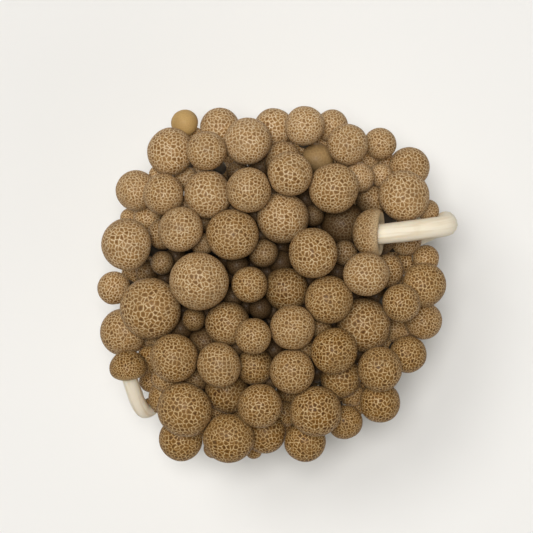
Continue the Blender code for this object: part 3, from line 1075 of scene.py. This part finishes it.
@dataclass
class Pins:
    """Stunted mushrooms, low round the foot."""

    count: int = 9
    heights: tuple[float, float] = (0.017, 0.030)
    widths: tuple[float, float] = (0.0032, 0.0052)
    foot_radius: float = FOOT_RADIUS
    foot_height: float = FOOT_HEIGHT
    inside_foot: float = 0.004
    beyond_foot: tuple[float, float] = (0.002, 0.006)
    first_seed: int = 900

    def places(self) -> Iterator[tuple[np.ndarray, np.ndarray, float]]:
        """Where the pins stand, as in the solids.

        Yields:
            Root, tip and width of each.
        """
        draw = np.random.default_rng(SEED + 1)
        for index in range(self.count):
            angle = 2 * math.pi * (index + 0.35 * draw.random()) / self.count
            outward = np.array((math.cos(angle), math.sin(angle), 0))
            root = outward * (self.foot_radius - self.inside_foot) + (0, 0, 0.6 * self.foot_height)
            reach = self.foot_radius + draw.uniform(*self.beyond_foot)
            tip = outward * reach + (0, 0, draw.uniform(*self.heights))
            yield root, tip, draw.uniform(*self.widths)

    def caps(self) -> Iterator[Cap]:
        """The pins' caps.

        Yields:
            The cap of each.
        """
        for index, (root, tip, width) in enumerate(self.places()):
            axis, seed = unit(tip - root + (0, 0, 0.01)), self.first_seed + index
            yield Cap(tuple(tip), tuple(axis), width, 0.30 * width, CapLook.MARBLED, seed)

    def stalks(self) -> Iterator[Stalk]:
        """The pins' stems.

        Yields:
            The stalk of each.
        """
        for root, tip, width in self.places():
            route = np.array([root, 0.5 * (root + tip) + (0, 0, 0.001), tip])
            yield Stalk.through(route, 0.32 * width * np.array((1.15, 1.0, 0.85)), 8)


@dataclass
class Latecomers:
    """Small mushrooms that stopped growing under the gaps between the ripe caps.

    The solids hold the nine under the widest gaps, and these are the rest. The first stand at the
    chosen places, and each of the others where the widest gap is left.
    """

    crowd: Crowd
    chosen: tuple[tuple[float, float], ...] = ((-0.0374, 0.0083), (0.0345, 0.0222))
    most: int = 90
    overlap: float = 0.0005
    widths: tuple[float, float] = (0.0052, 0.0088)
    tucked_under: float = 0.0042
    least_drop: float = 0.0085
    sector: float = math.radians(15)
    inside_rim: float = 0.002
    touching: float = 0.985
    lean_scatter: float = 0.06
    spot_reach: float = 0.052
    spot_step: float = 0.0007
    root_level: float = 0.004
    seat: float = 0.05
    taper: tuple[float, float] = (1.0, 0.86)
    nodes: int = 8
    rings: int = 20
    first_seed: int = 700
    caps: list[Cap] = field(default_factory=list)

    def __post_init__(self) -> None:
        """Places them, the widest gap's first, each as high as its neighbours leave it room."""
        crowd, spots = self.crowd, self.spots()
        middles, radii = crowd.centre.copy(), crowd.radius.copy()
        draw = np.random.default_rng(SEED + 5)
        apart = np.linalg.norm(spots[:, None] - middles[None, :, :2], axis=2)
        free = (apart - radii[None]).min(axis=1)
        while free.max() > -self.overlap and len(self.caps) < self.most:
            spot = spots[int(free.argmax())]
            if len(self.caps) < len(self.chosen):
                spot = np.array(self.chosen[len(self.caps)])
            width = float(np.clip(2 * free.max() + self.tucked_under, *self.widths))
            reach = self.touching * (width / 2 + radii)
            plan = np.linalg.norm(middles[:, :2] - spot, axis=1)
            drop = np.sqrt(np.maximum(reach ** 2 - plan ** 2, 0))
            canopy = crowd.crown_top - crowd.rim_drop * float(spot @ spot) / crowd.rim_radius ** 2
            room = float((middles[:, 2] - drop)[drop > 0].min())
            lean = spot / crowd.rim_radius * crowd.rim_lean + draw.normal(0, self.lean_scatter, 2)
            centre = np.r_[spot, min(canopy - self.least_drop - width / 2, room)]
            self.caps.append(Cap(
                tuple(centre), tuple(unit(np.r_[lean, 1.0])), width, stem_radius(width),
                CapLook.MARBLED, self.first_seed + len(self.caps)))
            middles, radii = np.vstack([middles, centre]), np.r_[radii, width / 2]
            free = np.minimum(free, np.linalg.norm(spots - spot, axis=1) - width / 2)

    def spots(self) -> np.ndarray:
        """Places inside the ring of caps, less than a millimetre apart.

        Returns:
            Their x and y, one row each.
        """
        middles = self.crowd.centre
        steps = np.arange(-self.spot_reach, self.spot_reach, self.spot_step)
        spots = np.stack(np.meshgrid(steps, steps), axis=-1).reshape(-1, 2)
        angle = np.arctan2(spots[:, 1], spots[:, 0])[:, None]
        bearing = np.arctan2(middles[:, 1], middles[:, 0])[None]
        off = np.abs((angle - bearing + math.pi) % (2 * math.pi) - math.pi)
        out = np.linalg.norm(middles[:, :2], axis=1)[None] * (off < self.sector)
        return spots[np.linalg.norm(spots, axis=1) < out.max(axis=1) - self.inside_rim]

    def stalks(self) -> Iterator[Stalk]:
        """Their stems, each on one curve from the foot.

        Yields:
            The stalk of each.
        """
        crowd = self.crowd
        share, thickness = np.linspace(0, 1, self.nodes)[:, None], np.linspace(*self.taper, self.nodes)
        for cap in self.caps:
            axis = np.array(cap.axis)
            end = np.array(cap.centre) - axis * self.seat * cap.width
            root = np.array((*(end[:2] * crowd.foot_spread), self.root_level))
            low = root + (end - root) * crowd.low_handle
            high = end - axis * crowd.high_handle * (end - root)[2]
            route = stem_curve((root, low, high, end), share)
            yield Stalk.through(route, cap.stem * thickness, self.rings)


def set_inputs(node: bpy.types.Node, values: dict[str, object]) -> None:
    """Sets plain values on a node's inputs, by their names."""
    for name, value in values.items():
        node.inputs[name].default_value = value


@dataclass
class Sheet:
    """A node tree with short ways to add and join nodes."""

    tree: bpy.types.NodeTree

    def add(self, kind: str, **settings: object) -> bpy.types.Node:
        """Makes a node.

        Args:
            kind: the node's type.
            settings: its properties.

        Returns:
            The node.
        """
        node = self.tree.nodes.new(kind)
        for name, value in settings.items():
            setattr(node, name, value)
        return node

    def join(self, source: bpy.types.NodeSocket, target: bpy.types.NodeSocket) -> None:
        """Leads one socket to another."""
        self.tree.links.new(source, target)

    def feed(self, value: object, socket: bpy.types.NodeSocket) -> None:
        """Leads a socket to another, or sets a plain value on it.

        Args:
            value: the socket or the value.
            socket: the input that gets it.
        """
        if isinstance(value, bpy.types.NodeSocket):
            self.join(value, socket)
        else:
            socket.default_value = value

    def math(self, operation: str, first: object, second: object = 0.0) -> bpy.types.NodeSocket:
        """Reckons with two values.

        Args:
            operation: what is done with them.
            first: the first socket or number.
            second: the second.

        Returns:
            The result.
        """
        node = self.add("ShaderNodeMath", operation=operation)
        self.feed(first, node.inputs[0])
        self.feed(second, node.inputs[1])
        return node.outputs[0]

    def vector(self, operation: str, *values: object) -> bpy.types.NodeSocket:
        """Reckons with vectors.

        Args:
            operation: what is done with them.
            values: the sockets or vectors.

        Returns:
            The result.
        """
        node = self.add("ShaderNodeVectorMath", operation=operation)
        for value, socket in zip(values, node.inputs):
            self.feed(value, socket)
        return node.outputs[0]

    def ramp(self, value: object, low: float, high: float,
             start: float, end: float) -> bpy.types.NodeSocket:
        """Maps a value smoothly.

        Args:
            value: the socket or number.
            low: where the result is start.
            high: where the result is end.
            start: the result up to low.
            end: the result from high on.

        Returns:
            The result.
        """
        node = self.add("ShaderNodeMapRange", interpolation_type="SMOOTHSTEP")
        for slot, number in zip((1, 2, 3, 4), (low, high, start, end)):
            node.inputs[slot].default_value = number
        self.feed(value, node.inputs[0])
        return node.outputs[0]

    def mix(self, share: object, first: object, second: object,
            blend: str = "MIX") -> bpy.types.NodeSocket:
        """Mixes two colours.

        Args:
            share: how much of the second colour there is.
            first: the first colour, or a socket with it.
            second: the second one.
            blend: how they are mixed.

        Returns:
            The mixed colour.
        """
        node = self.add("ShaderNodeMix", data_type="RGBA", blend_type=blend)
        self.feed(share, node.inputs[0])
        for value, slot in ((first, 6), (second, 7)):
            self.feed((*value, 1.0) if isinstance(value, tuple) else value, node.inputs[slot])
        return node.outputs[2]

    def noise(self, where: object, scale: float, detail: float = 3.0) -> bpy.types.Node:
        """Makes a noise texture.

        Args:
            where: the place that it reads.
            scale: how many features it has in a unit of that place.
            detail: how many finer layers it has.

        Returns:
            The node.
        """
        node = self.add("ShaderNodeTexNoise")
        set_inputs(node, {"Scale": scale, "Detail": detail})
        self.feed(where, node.inputs["Vector"])
        return node

    def bump(self, relief: bpy.types.NodeSocket,
             strength: float, distance: float) -> bpy.types.NodeSocket:
        """Tilts the surface where a fine relief slopes.

        Args:
            relief: the relief's height.
            strength: how much of the tilt shows.
            distance: how high a relief of 1 stands, in metres.

        Returns:
            The tilted normal.
        """
        node = self.add("ShaderNodeBump")
        set_inputs(node, {"Strength": strength, "Distance": distance})
        self.join(relief, node.inputs["Height"])
        return node.outputs["Normal"]

    def attribute(self, name: str) -> bpy.types.Node:
        """An attribute of the mesh."""
        return self.add("ShaderNodeAttribute", attribute_name=name, attribute_type="GEOMETRY")


def new_material(name: str) -> tuple[bpy.types.Material, Sheet, bpy.types.Node]:
    """Makes a material with nodes.

    Args:
        name: its name.

    Returns:
        The material, its sheet and its shader.
    """
    material = bpy.data.materials.new(name)
    material.use_nodes = True
    return material, Sheet(material.node_tree), material.node_tree.nodes["Principled BSDF"]


def new_group(name: str, ins: dict[str, str],
              outs: dict[str, str]) -> tuple[Sheet, bpy.types.Node, bpy.types.Node]:
    """An empty shader node group.

    Args:
        name: the group's name.
        ins: each input's name and socket type.
        outs: each output's name and socket type.

    Returns:
        The group's sheet, its input node and its output node.
    """
    tree = bpy.data.node_groups.new(name, "ShaderNodeTree")
    for sockets, way in ((ins, "INPUT"), (outs, "OUTPUT")):
        for label, kind in sockets.items():
            tree.interface.new_socket(name=label, in_out=way, socket_type=kind)
    sheet = Sheet(tree)
    return sheet, sheet.add("NodeGroupInput"), sheet.add("NodeGroupOutput")


def marbling_group() -> bpy.types.NodeTree:
    """The cap's tessellation: soft dark cells, parted by a thin pale net of uneven width.

    Returns:
        The group, which puts out the net, a number for each cell and the depth inside the cell.
    """
    ins = {"Vector": "NodeSocketVector", "Cells per metre": "NodeSocketFloat",
           "Cell size": "NodeSocketFloat", "Net width": "NodeSocketFloat"}
    outs = {"Net": "NodeSocketFloat", "Cell": "NodeSocketFloat", "Depth": "NodeSocketFloat"}
    sheet, given, result = new_group("marbling", ins, outs)
    scale = sheet.add("ShaderNodeVectorMath", operation="SCALE")
    sheet.join(given.outputs["Vector"], scale.inputs[0])
    cells_across = sheet.math("DIVIDE", given.outputs["Cells per metre"], given.outputs["Cell size"])
    sheet.join(cells_across, scale.inputs["Scale"])
    drift = sheet.noise(scale.outputs[0], 1.0, 3.0)
    centred = sheet.vector("SUBTRACT", drift.outputs["Color"], (0.5, 0.5, 0.5))
    warped = sheet.vector("MULTIPLY_ADD", centred, (0.7, 0.7, 0.7), scale.outputs[0])
    edges = sheet.add("ShaderNodeTexVoronoi", feature="DISTANCE_TO_EDGE")
    cells = sheet.add("ShaderNodeTexVoronoi", feature="F1")
    for texture in (edges, cells):
        texture.voronoi_dimensions = "2D"
        set_inputs(texture, {"Scale": 1.0, "Randomness": 0.9})
        sheet.join(warped, texture.inputs["Vector"])
    uneven = sheet.noise(scale.outputs[0], 0.8, 2.0)
    unevenness = sheet.ramp(uneven.outputs["Fac"], 0.3, 0.7, 0.55, 1.5)
    reach = sheet.math("MULTIPLY", given.outputs["Net width"], unevenness)
    net = sheet.ramp(sheet.math("DIVIDE", edges.outputs["Distance"], reach), 0.0, 1.0, 1.0, 0.0)
    faded = sheet.ramp(sheet.noise(scale.outputs[0], 1.6, 2.0).outputs["Fac"], 0.32, 0.58, 0.40, 1.0)
    sheet.join(sheet.math("MULTIPLY", net, faded), result.inputs["Net"])
    parts = sheet.add("ShaderNodeSeparateColor")
    sheet.join(cells.outputs["Color"], parts.inputs[0])
    sheet.join(parts.outputs[0], result.inputs["Cell"])
    depth = sheet.ramp(edges.outputs["Distance"], 0.03, 0.42, 0.0, 1.0)
    sheet.join(depth, result.inputs["Depth"])
    return sheet.tree


def painted_shade_group() -> bpy.types.NodeTree:
    """Paints shade: darkens what lies deep between the mushrooms, where shade falls.

    Returns:
        The group, which puts out the colour with the painted shade.
    """
    # Deep color is the painted shade's colour, Depth its mask and Strength how much of it shows.
    ins = {"Color": "NodeSocketColor", "Deep color": "NodeSocketColor",
           "Depth": "NodeSocketFloat", "Strength": "NodeSocketFloat"}
    sheet, given, result = new_group("painted_shade", ins, {"Color": "NodeSocketColor"})
    depth = sheet.ramp(given.outputs["Depth"], 0.0, 1.0, 0.0, 1.0)
    share = sheet.math("MULTIPLY", depth, given.outputs["Strength"])
    darkened = sheet.mix(share, given.outputs["Color"], given.outputs["Deep color"])
    sheet.join(darkened, result.inputs["Color"])
    return sheet.tree


def fibre_group() -> bpy.types.NodeTree:
    """Fibres that run along a stalk, from the place that each point has on it.

    Returns:
        The group, which puts out coarse streaks and fine threads.
    """
    ins = {"Vector": "NodeSocketVector"}
    outs = {"Streak": "NodeSocketFloat", "Fine": "NodeSocketFloat"}
    sheet, given, result = new_group("fibres", ins, outs)
    for label, stretch, scale in (("Streak", 0.07, 900.0), ("Fine", 0.10, 2600.0)):
        squeezed = sheet.vector("MULTIPLY", given.outputs["Vector"], (1.0, 1.0, stretch))
        sheet.join(sheet.noise(squeezed, scale, 2.0).outputs["Fac"], result.inputs[label])
    return sheet.tree


@dataclass(frozen=True)
class Effects:
    """The node groups that several finishes share."""

    marbling: bpy.types.NodeTree
    fibres: bpy.types.NodeTree
    painted_shade: bpy.types.NodeTree

    def painted_shading(self, sheet: Sheet, colour: bpy.types.NodeSocket,
                  deep: RGB, strength: float) -> bpy.types.NodeSocket:
        """The colour with painted shade, darkened where the piece lies deep in the crowd.

        Args:
            sheet: the material's nodes.
            colour: the colour in the open.
            deep: the colour of the painted shade deep inside.
            strength: how much of the deep colour shows there at most.

        Returns:
            The colour everywhere.
        """
        node = sheet.add("ShaderNodeGroup", node_tree=self.painted_shade)
        sheet.join(colour, node.inputs["Color"])
        sheet.join(sheet.attribute("painted_shade").outputs["Fac"], node.inputs["Depth"])
        set_inputs(node, {"Deep color": (*deep, 1.0), "Strength": strength})
        return node.outputs["Color"]


@dataclass(frozen=True)
class SkinFinish:
    """The moist brown skin of a cap, with cream gills under it. Colours are scene linear."""

    name: str = "cap_skin"
    net_light: RGB = (0.75, 0.615, 0.42)
    net_gold: RGB = (0.60, 0.45, 0.235)
    cell_light: RGB = (0.425, 0.245, 0.088)
    cell_gold: RGB = (0.232, 0.102, 0.010)
    heart_light: RGB = (0.150, 0.060, 0.010)
    heart_gold: RGB = (0.045, 0.0125, 0.0006)
    bud: RGB = (0.62, 0.44, 0.17)
    gill: RGB = (0.72, 0.57, 0.36)
    patch: RGB = (0.13, 0.066, 0.020)
    # Painted shade: the colour painted on skin deep between the caps, and how much of it shows.
    deep: RGB = (0.032, 0.015, 0.004)
    painted_shading: float = 0.92
    cells_per_metre: float = 860.0
    net_width: float = 0.128
    roughness: float = 0.54
    coat: float = 0.04

    def build(self, effects: Effects) -> bpy.types.Material:
        """Makes the material.

        Args:
            effects: the shared node groups.

        Returns:
            The material.
        """
        material, sheet, shader = new_material(self.name)
        where = sheet.add("ShaderNodeTexCoord").outputs["Object"]
        pattern = sheet.add("ShaderNodeGroup", node_tree=effects.marbling)
        sheet.join(sheet.attribute("skin_place").outputs["Vector"], pattern.inputs["Vector"])
        sheet.join(sheet.attribute("cell_size").outputs["Fac"], pattern.inputs["Cell size"])
        set_inputs(pattern, {"Cells per metre": self.cells_per_metre, "Net width": self.net_width})
        crown, under, tint, marbled = (
            sheet.attribute(name).outputs["Fac"] for name in ("crown", "under", "tint", "marbling"))
        patches = sheet.noise(where, 150.0, 2.0).outputs["Fac"]
        golden = sheet.ramp(tint, 0.06, 0.84, 0.0, 1.0)
        ground = sheet.mix(golden, self.cell_light, self.cell_gold)
        heart = sheet.mix(golden, self.heart_light, self.heart_gold)
        own_depth = sheet.ramp(pattern.outputs["Cell"], 0.0, 1.0, 0.58, 1.0)
        cells = sheet.mix(sheet.math("MULTIPLY", pattern.outputs["Depth"], own_depth), ground, heart)
        net = sheet.mix(golden, self.net_light, self.net_gold)
        pale = sheet.mix(sheet.ramp(tint, -1.0, 0.0, 0.0, 1.0), self.bud, net)
        plain = sheet.mix(0.6, pale, ground)
        marbled_skin = sheet.mix(pattern.outputs["Net"], cells, pale)
        clear = sheet.math("MULTIPLY", marbled, sheet.ramp(patches, 0.3, 0.7, 1.0, 0.85))
        skin = sheet.mix(clear, plain, marbled_skin)
        toned = sheet.mix(sheet.ramp(patches, 0.48, 0.85, 0.0, 0.40), skin, self.patch)
        margin = sheet.mix(sheet.ramp(crown, -0.26, 0.04, 0.30, 0.0), toned, pale)
        grain = sheet.noise(where, 5200.0, 2.0).outputs["Fac"]
        specks = sheet.mix(grain, (0.18, 0.18, 0.18), (0.78, 0.78, 0.78))
        coloured = sheet.mix(under, sheet.mix(0.20, margin, specks, "OVERLAY"), self.gill)
        # Painted shade: skin deep between the caps is painted nearly black.
        darkened = effects.painted_shading(sheet, coloured, self.deep, self.painted_shading)
        sheet.join(darkened, shader.inputs["Base Color"])
        rough = sheet.math("ADD", self.roughness, sheet.math("MULTIPLY", grain, 0.16))
        rough = sheet.math("ADD", rough, sheet.math("MULTIPLY", under, 0.2))
        sheet.join(rough, shader.inputs["Roughness"])
        coat = sheet.math("MULTIPLY", sheet.math("SUBTRACT", 1.0, under), self.coat)
        sheet.join(coat, shader.inputs["Coat Weight"])
        set_inputs(shader, {
            "Coat Roughness": 0.22, "Specular IOR Level": 0.17, "Subsurface Weight": 0.03,
            "Subsurface Radius": (0.0006, 0.0003, 0.0001), "Subsurface Scale": 1.0})
        relief = sheet.math("ADD", pattern.outputs["Depth"], sheet.math("MULTIPLY", grain, 0.5))
        sheet.join(sheet.bump(relief, 0.35, 0.00012), shader.inputs["Normal"])
        return material


@dataclass(frozen=True)
class FleshFinish:
    """The pale flesh of stems and foot. Colours are scene linear."""

    name: str
    light: RGB = (0.85, 0.77, 0.61)
    streak: RGB = (0.64, 0.50, 0.31)
    low: RGB = (0.84, 0.78, 0.64)
    # Painted shade: the colour painted on flesh deep in the crowd, and how much of it shows.
    deep: RGB = (0.028, 0.018, 0.010)
    painted_shading: float = 0.97
    cut: RGB = (0.78, 0.68, 0.48)
    seam: RGB = (0.45, 0.31, 0.16)
    speck: RGB = (0.24, 0.13, 0.06)
    stem_ends_per_metre: float = 210.0
    roughness: float = 0.52
    cut_marks: bool = False

    def build(self, effects: Effects) -> bpy.types.Material:
        """Makes the material.

        Args:
            effects: the shared node groups.

        Returns:
            The material.
        """
        material, sheet, shader = new_material(self.name)
        where = sheet.add("ShaderNodeTexCoord").outputs["Object"]
        threads = sheet.add("ShaderNodeGroup", node_tree=effects.fibres)
        sheet.join(sheet.attribute("fibre").outputs["Vector"], threads.inputs["Vector"])
        height = sheet.attribute("stem_height").outputs["Fac"]
        streaks = sheet.ramp(threads.outputs["Streak"], 0.42, 0.72, 0.0, 0.55)
        streaked = sheet.mix(streaks, self.light, self.streak)
        lowered = sheet.mix(sheet.ramp(height, 0.05, 0.45, 0.75, 0.0), streaked, self.low)
        blotch = sheet.noise(where, 210.0, 3.0).outputs["Fac"]
        colour = sheet.mix(sheet.ramp(blotch, 0.5, 0.8, 0.0, 0.35), lowered, self.streak)
        if self.cut_marks:
            colour = self.cut_face(sheet, where, colour)
        # Painted shade: flesh deep in the crowd, and facing up under the caps, is painted nearly black.
        darkened = effects.painted_shading(sheet, colour, self.deep, self.painted_shading)
        sheet.join(darkened, shader.inputs["Base Color"])
        rough = sheet.math("ADD", self.roughness, sheet.math("MULTIPLY", threads.outputs["Fine"], 0.15))
        sheet.join(rough, shader.inputs["Roughness"])
        set_inputs(shader, {
            "Subsurface Weight": 0.25, "Subsurface Radius": (0.0018, 0.0012, 0.0007),
            "Subsurface Scale": 1.0})
        fine = sheet.math("MULTIPLY", threads.outputs["Fine"], 0.6)
        relief = sheet.math("ADD", threads.outputs["Streak"], fine)
        sheet.join(sheet.bump(relief, 0.5, 0.00015), shader.inputs["Normal"])
        return material

    def cut_face(self, sheet: Sheet, where: bpy.types.NodeSocket,
                 colour: bpy.types.NodeSocket) -> bpy.types.NodeSocket:
        """Colours the knife's cut: the ends of stems, tan where they part, with brown specks.

        Args:
            sheet: the material's nodes.
            where: the place on the object.
            colour: the colour everywhere else.

        Returns:
            The colour everywhere.
        """
        parts = sheet.add("ShaderNodeSeparateXYZ")
        sheet.join(where, parts.inputs[0])
        near_cut = sheet.ramp(parts.outputs["Z"], 0.0, 0.0009, 1.0, 0.0)
        ends = sheet.add("ShaderNodeTexVoronoi", feature="DISTANCE_TO_EDGE")
        set_inputs(ends, {"Scale": self.stem_ends_per_metre})
        sheet.join(where, ends.inputs["Vector"])
        seams = sheet.ramp(ends.outputs["Distance"], 0.0, 0.14, 0.75, 0.0)
        specks = sheet.ramp(sheet.noise(where, 1500.0, 4.0).outputs["Fac"], 0.60, 0.72, 0.0, 0.7)
        cut = sheet.mix(specks, sheet.mix(seams, self.cut, self.seam), self.speck)
        return sheet.mix(near_cut, colour, cut)


@dataclass
class Studio:
    """A pale floor, soft lights and the camera, which looks straight down as the photograph does."""

    picture_px: float = 533.0
    px_per_mm: float = 3.3
    cluster_centre_px: tuple[float, float] = (270.0, 285.0)
    cap_level: float = 0.065
    camera_height: float = 0.80
    sensor_mm: float = 36.0
    floor_size: float = 12.0
    floor_colour: RGB = (0.80, 0.79, 0.765)

    def floor(self) -> bpy.types.Object:
        """The pale floor.

        Returns:
            The floor.
        """
        material, _, shader = new_material("pale_floor")
        set_inputs(shader, {"Base Color": (*self.floor_colour, 1.0), "Roughness": 0.7})
        shape = bmesh.new()
        bmesh.ops.create_grid(shape, x_segments=1, y_segments=1, size=self.floor_size)
        return finish_mesh("floor", shape, material)

    def camera(self) -> None:
        """The camera, placed so that the picture holds the cluster where the photograph does."""
        across = self.picture_px / self.px_per_mm * MM
        middle = self.picture_px / 2
        x = (middle - self.cluster_centre_px[0]) / self.px_per_mm * MM
        y = (self.cluster_centre_px[1] - middle) / self.px_per_mm * MM
        data = bpy.data.cameras.new("camera")
        data.sensor_width = self.sensor_mm
        data.lens = self.sensor_mm * self.camera_height / across
        camera = bpy.data.objects.new("camera", data)
        camera.location = (x, y, self.cap_level + self.camera_height)
        bpy.context.scene.collection.objects.link(camera)
        bpy.context.scene.camera = camera

    def lamp(self, name: str, place: Place, spread: float, strength: float, colour: RGB) -> None:
        """A soft light from far away, which falls evenly on the floor.

        Args:
            name: the lamp's name.
            place: where it hangs; only the direction counts.
            spread: how wide it looks from the cluster, in degrees.
            strength: its light, in watts a square metre.
            colour: its colour.
        """
        data = bpy.data.lights.new(name, "SUN")
        data.angle, data.energy, data.color = math.radians(spread), strength, colour
        lamp = bpy.data.objects.new(name, data)
        lamp.location = place
        lamp.rotation_euler = (-Vector(place)).to_track_quat("-Z", "Y").to_euler()
        bpy.context.scene.collection.objects.link(lamp)

    def lights(self) -> None:
        """A soft light from above, a softer key from the upper left, a weak fill and a dim surround."""
        self.lamp("overhead", (-0.06, 0.07, 1.10), 19, 2.25, (1.0, 0.99, 0.98))
        self.lamp("key", (-0.38, 0.34, 0.90), 24, 0.95, (1.0, 0.99, 0.97))
        self.lamp("fill", (0.60, -0.55, 0.45), 50, 0.30, (0.97, 0.985, 1.0))
        world = bpy.data.worlds.new("studio")
        world.use_nodes = True
        background = world.node_tree.nodes["Background"]
        set_inputs(background, {"Color": (1.0, 0.99, 0.97, 1.0), "Strength": 0.07})
        bpy.context.scene.world = world
        bpy.context.scene.view_settings.view_transform = "Standard"


@dataclass
class Swelling:
    """How far ripe caps swell beyond their solids: until they touch, and never out of the box."""

    most: float = 1.055
    least: float = 0.94
    wobble_room: float = 1.033
    gap: float = 0.00006
    close: float = 0.0008
    first_seed: int = 100

    def factor(self, centre: np.ndarray, radius: float) -> float:
        """How much larger than its solid a cap is drawn.

        Args:
            centre: the cap's centre.
            radius: the radius of its solid.

        Returns:
            The factor.
        """
        low, high = np.array(CAD_BOX[0]), np.array(CAD_BOX[1])
        room = min((centre - low).min(), (high - centre).min()) / (radius * self.wobble_room)
        return float(np.clip(room, self.least, self.most))

    def caps(self, crowd: Crowd) -> list[Cap]:
        """Every cap of the crowd, in the order of the tables.

        Args:
            crowd: the settled crowd.

        Returns:
            The caps, each with the planes that its neighbours press on it.
        """
        factors = np.array([self.factor(*pair) for pair in zip(crowd.centre, crowd.radius)])
        radius = crowd.radius * factors
        caps = []
        for index, centre in enumerate(crowd.centre):
            between = crowd.centre - centre
            distance = np.linalg.norm(between, axis=1)
            close = (distance < radius[index] + radius + self.close) & (distance > 0)
            pressed = []
            for other in np.flatnonzero(close):
                reach = distance[other] * radius[index] / (radius[index] + radius[other]) - self.gap
                pressed.append((tuple(between[other] / distance[other]), float(reach)))
            caps.append(Cap(
                tuple(centre), tuple(crowd.axis[index]), float(2 * radius[index]),
                float(crowd.stem[index]), crowd.look_of(index), self.first_seed + index,
                tuple(pressed)))
        return caps


def farthest_from_solid(crowd: Crowd) -> float:
    """How well the loose caps follow their solids.

    Args:
        crowd: the settled crowd.

    Returns:
        The largest distance between a cap's middle and its solid's, in millimetres.
    """
    worst, middle_up = 0.0, 0.22
    for number, index in enumerate(np.flatnonzero(crowd.loose), 1):
        low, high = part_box(f"cap_{number:02d}")
        middle = crowd.centre[index] + crowd.axis[index] * middle_up * crowd.radius[index]
        worst = max(worst, ((low + high) / 2 - Vector(middle)).length / MM)
    return worst


def keep(piece: bpy.types.Object, slot: str, *nodes: str) -> None:
    """Rides a piece on the cluster, in place of the solids that it stands for.

    Args:
        piece: the piece.
        slot: the record's material slot that it belongs to; not used.
        nodes: the solids.
    """
    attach(piece, "root")
    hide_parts(*nodes)
    log.info("%s: %d faces, for %s", piece.name, len(piece.data.polygons), ", ".join(nodes))


def main() -> None:
    """Builds the pieces in order, and then the studio."""
    logging.basicConfig(level=logging.INFO, format="%(name)s: %(message)s")
    crowd = Crowd()
    log.info("caps' middles lie within %.2f mm of their solids'", farthest_from_solid(crowd))
    effects = Effects(marbling_group(), fibre_group(), painted_shade_group())
    skin = SkinFinish().build(effects)
    caps = Swelling().caps(crowd)
    modeller = CapModeller()
    loose = [cap for cap, is_loose in zip(caps, crowd.loose) if is_loose]
    for number, cap in enumerate(loose, 1):
        piece = finish_mesh(f"brown_cap_{number:02d}", modeller.shape(cap), skin)
        keep(piece, "cap_skin", f"cap_{number:02d}")
    pins, latecomers = Pins(), Latecomers(crowd)
    young = [cap for cap, is_loose in zip(caps, crowd.loose) if not is_loose]
    plainer = CapModeller(dome_rings=9, under_rings=4)
    for name, several, maker in (
            ("young_caps", [*young, *pins.caps()], modeller), ("tucked_caps", latecomers.caps, plainer)):
        shape = bmesh.new()
        for cap in several:
            maker.add_to(shape, cap)
        keep(finish_mesh(name, shape, skin), "cap_skin", "stems")
    sheaf = Sheaf(crowd)
    sheaf.stalks.extend((*pins.stalks(), *latecomers.stalks()))
    stems = sheaf.stems(FleshFinish("stem_flesh").build(effects))
    keep(stems, "stem_flesh", "stems")
    foot = sheaf.foot(stems, FleshFinish("foot_flesh", cut_marks=True).build(effects))
    keep(foot, "stem_flesh", "stems")
    studio = Studio()
    studio.floor()
    studio.camera()
    studio.lights()


if __name__ == "__main__":
    main()
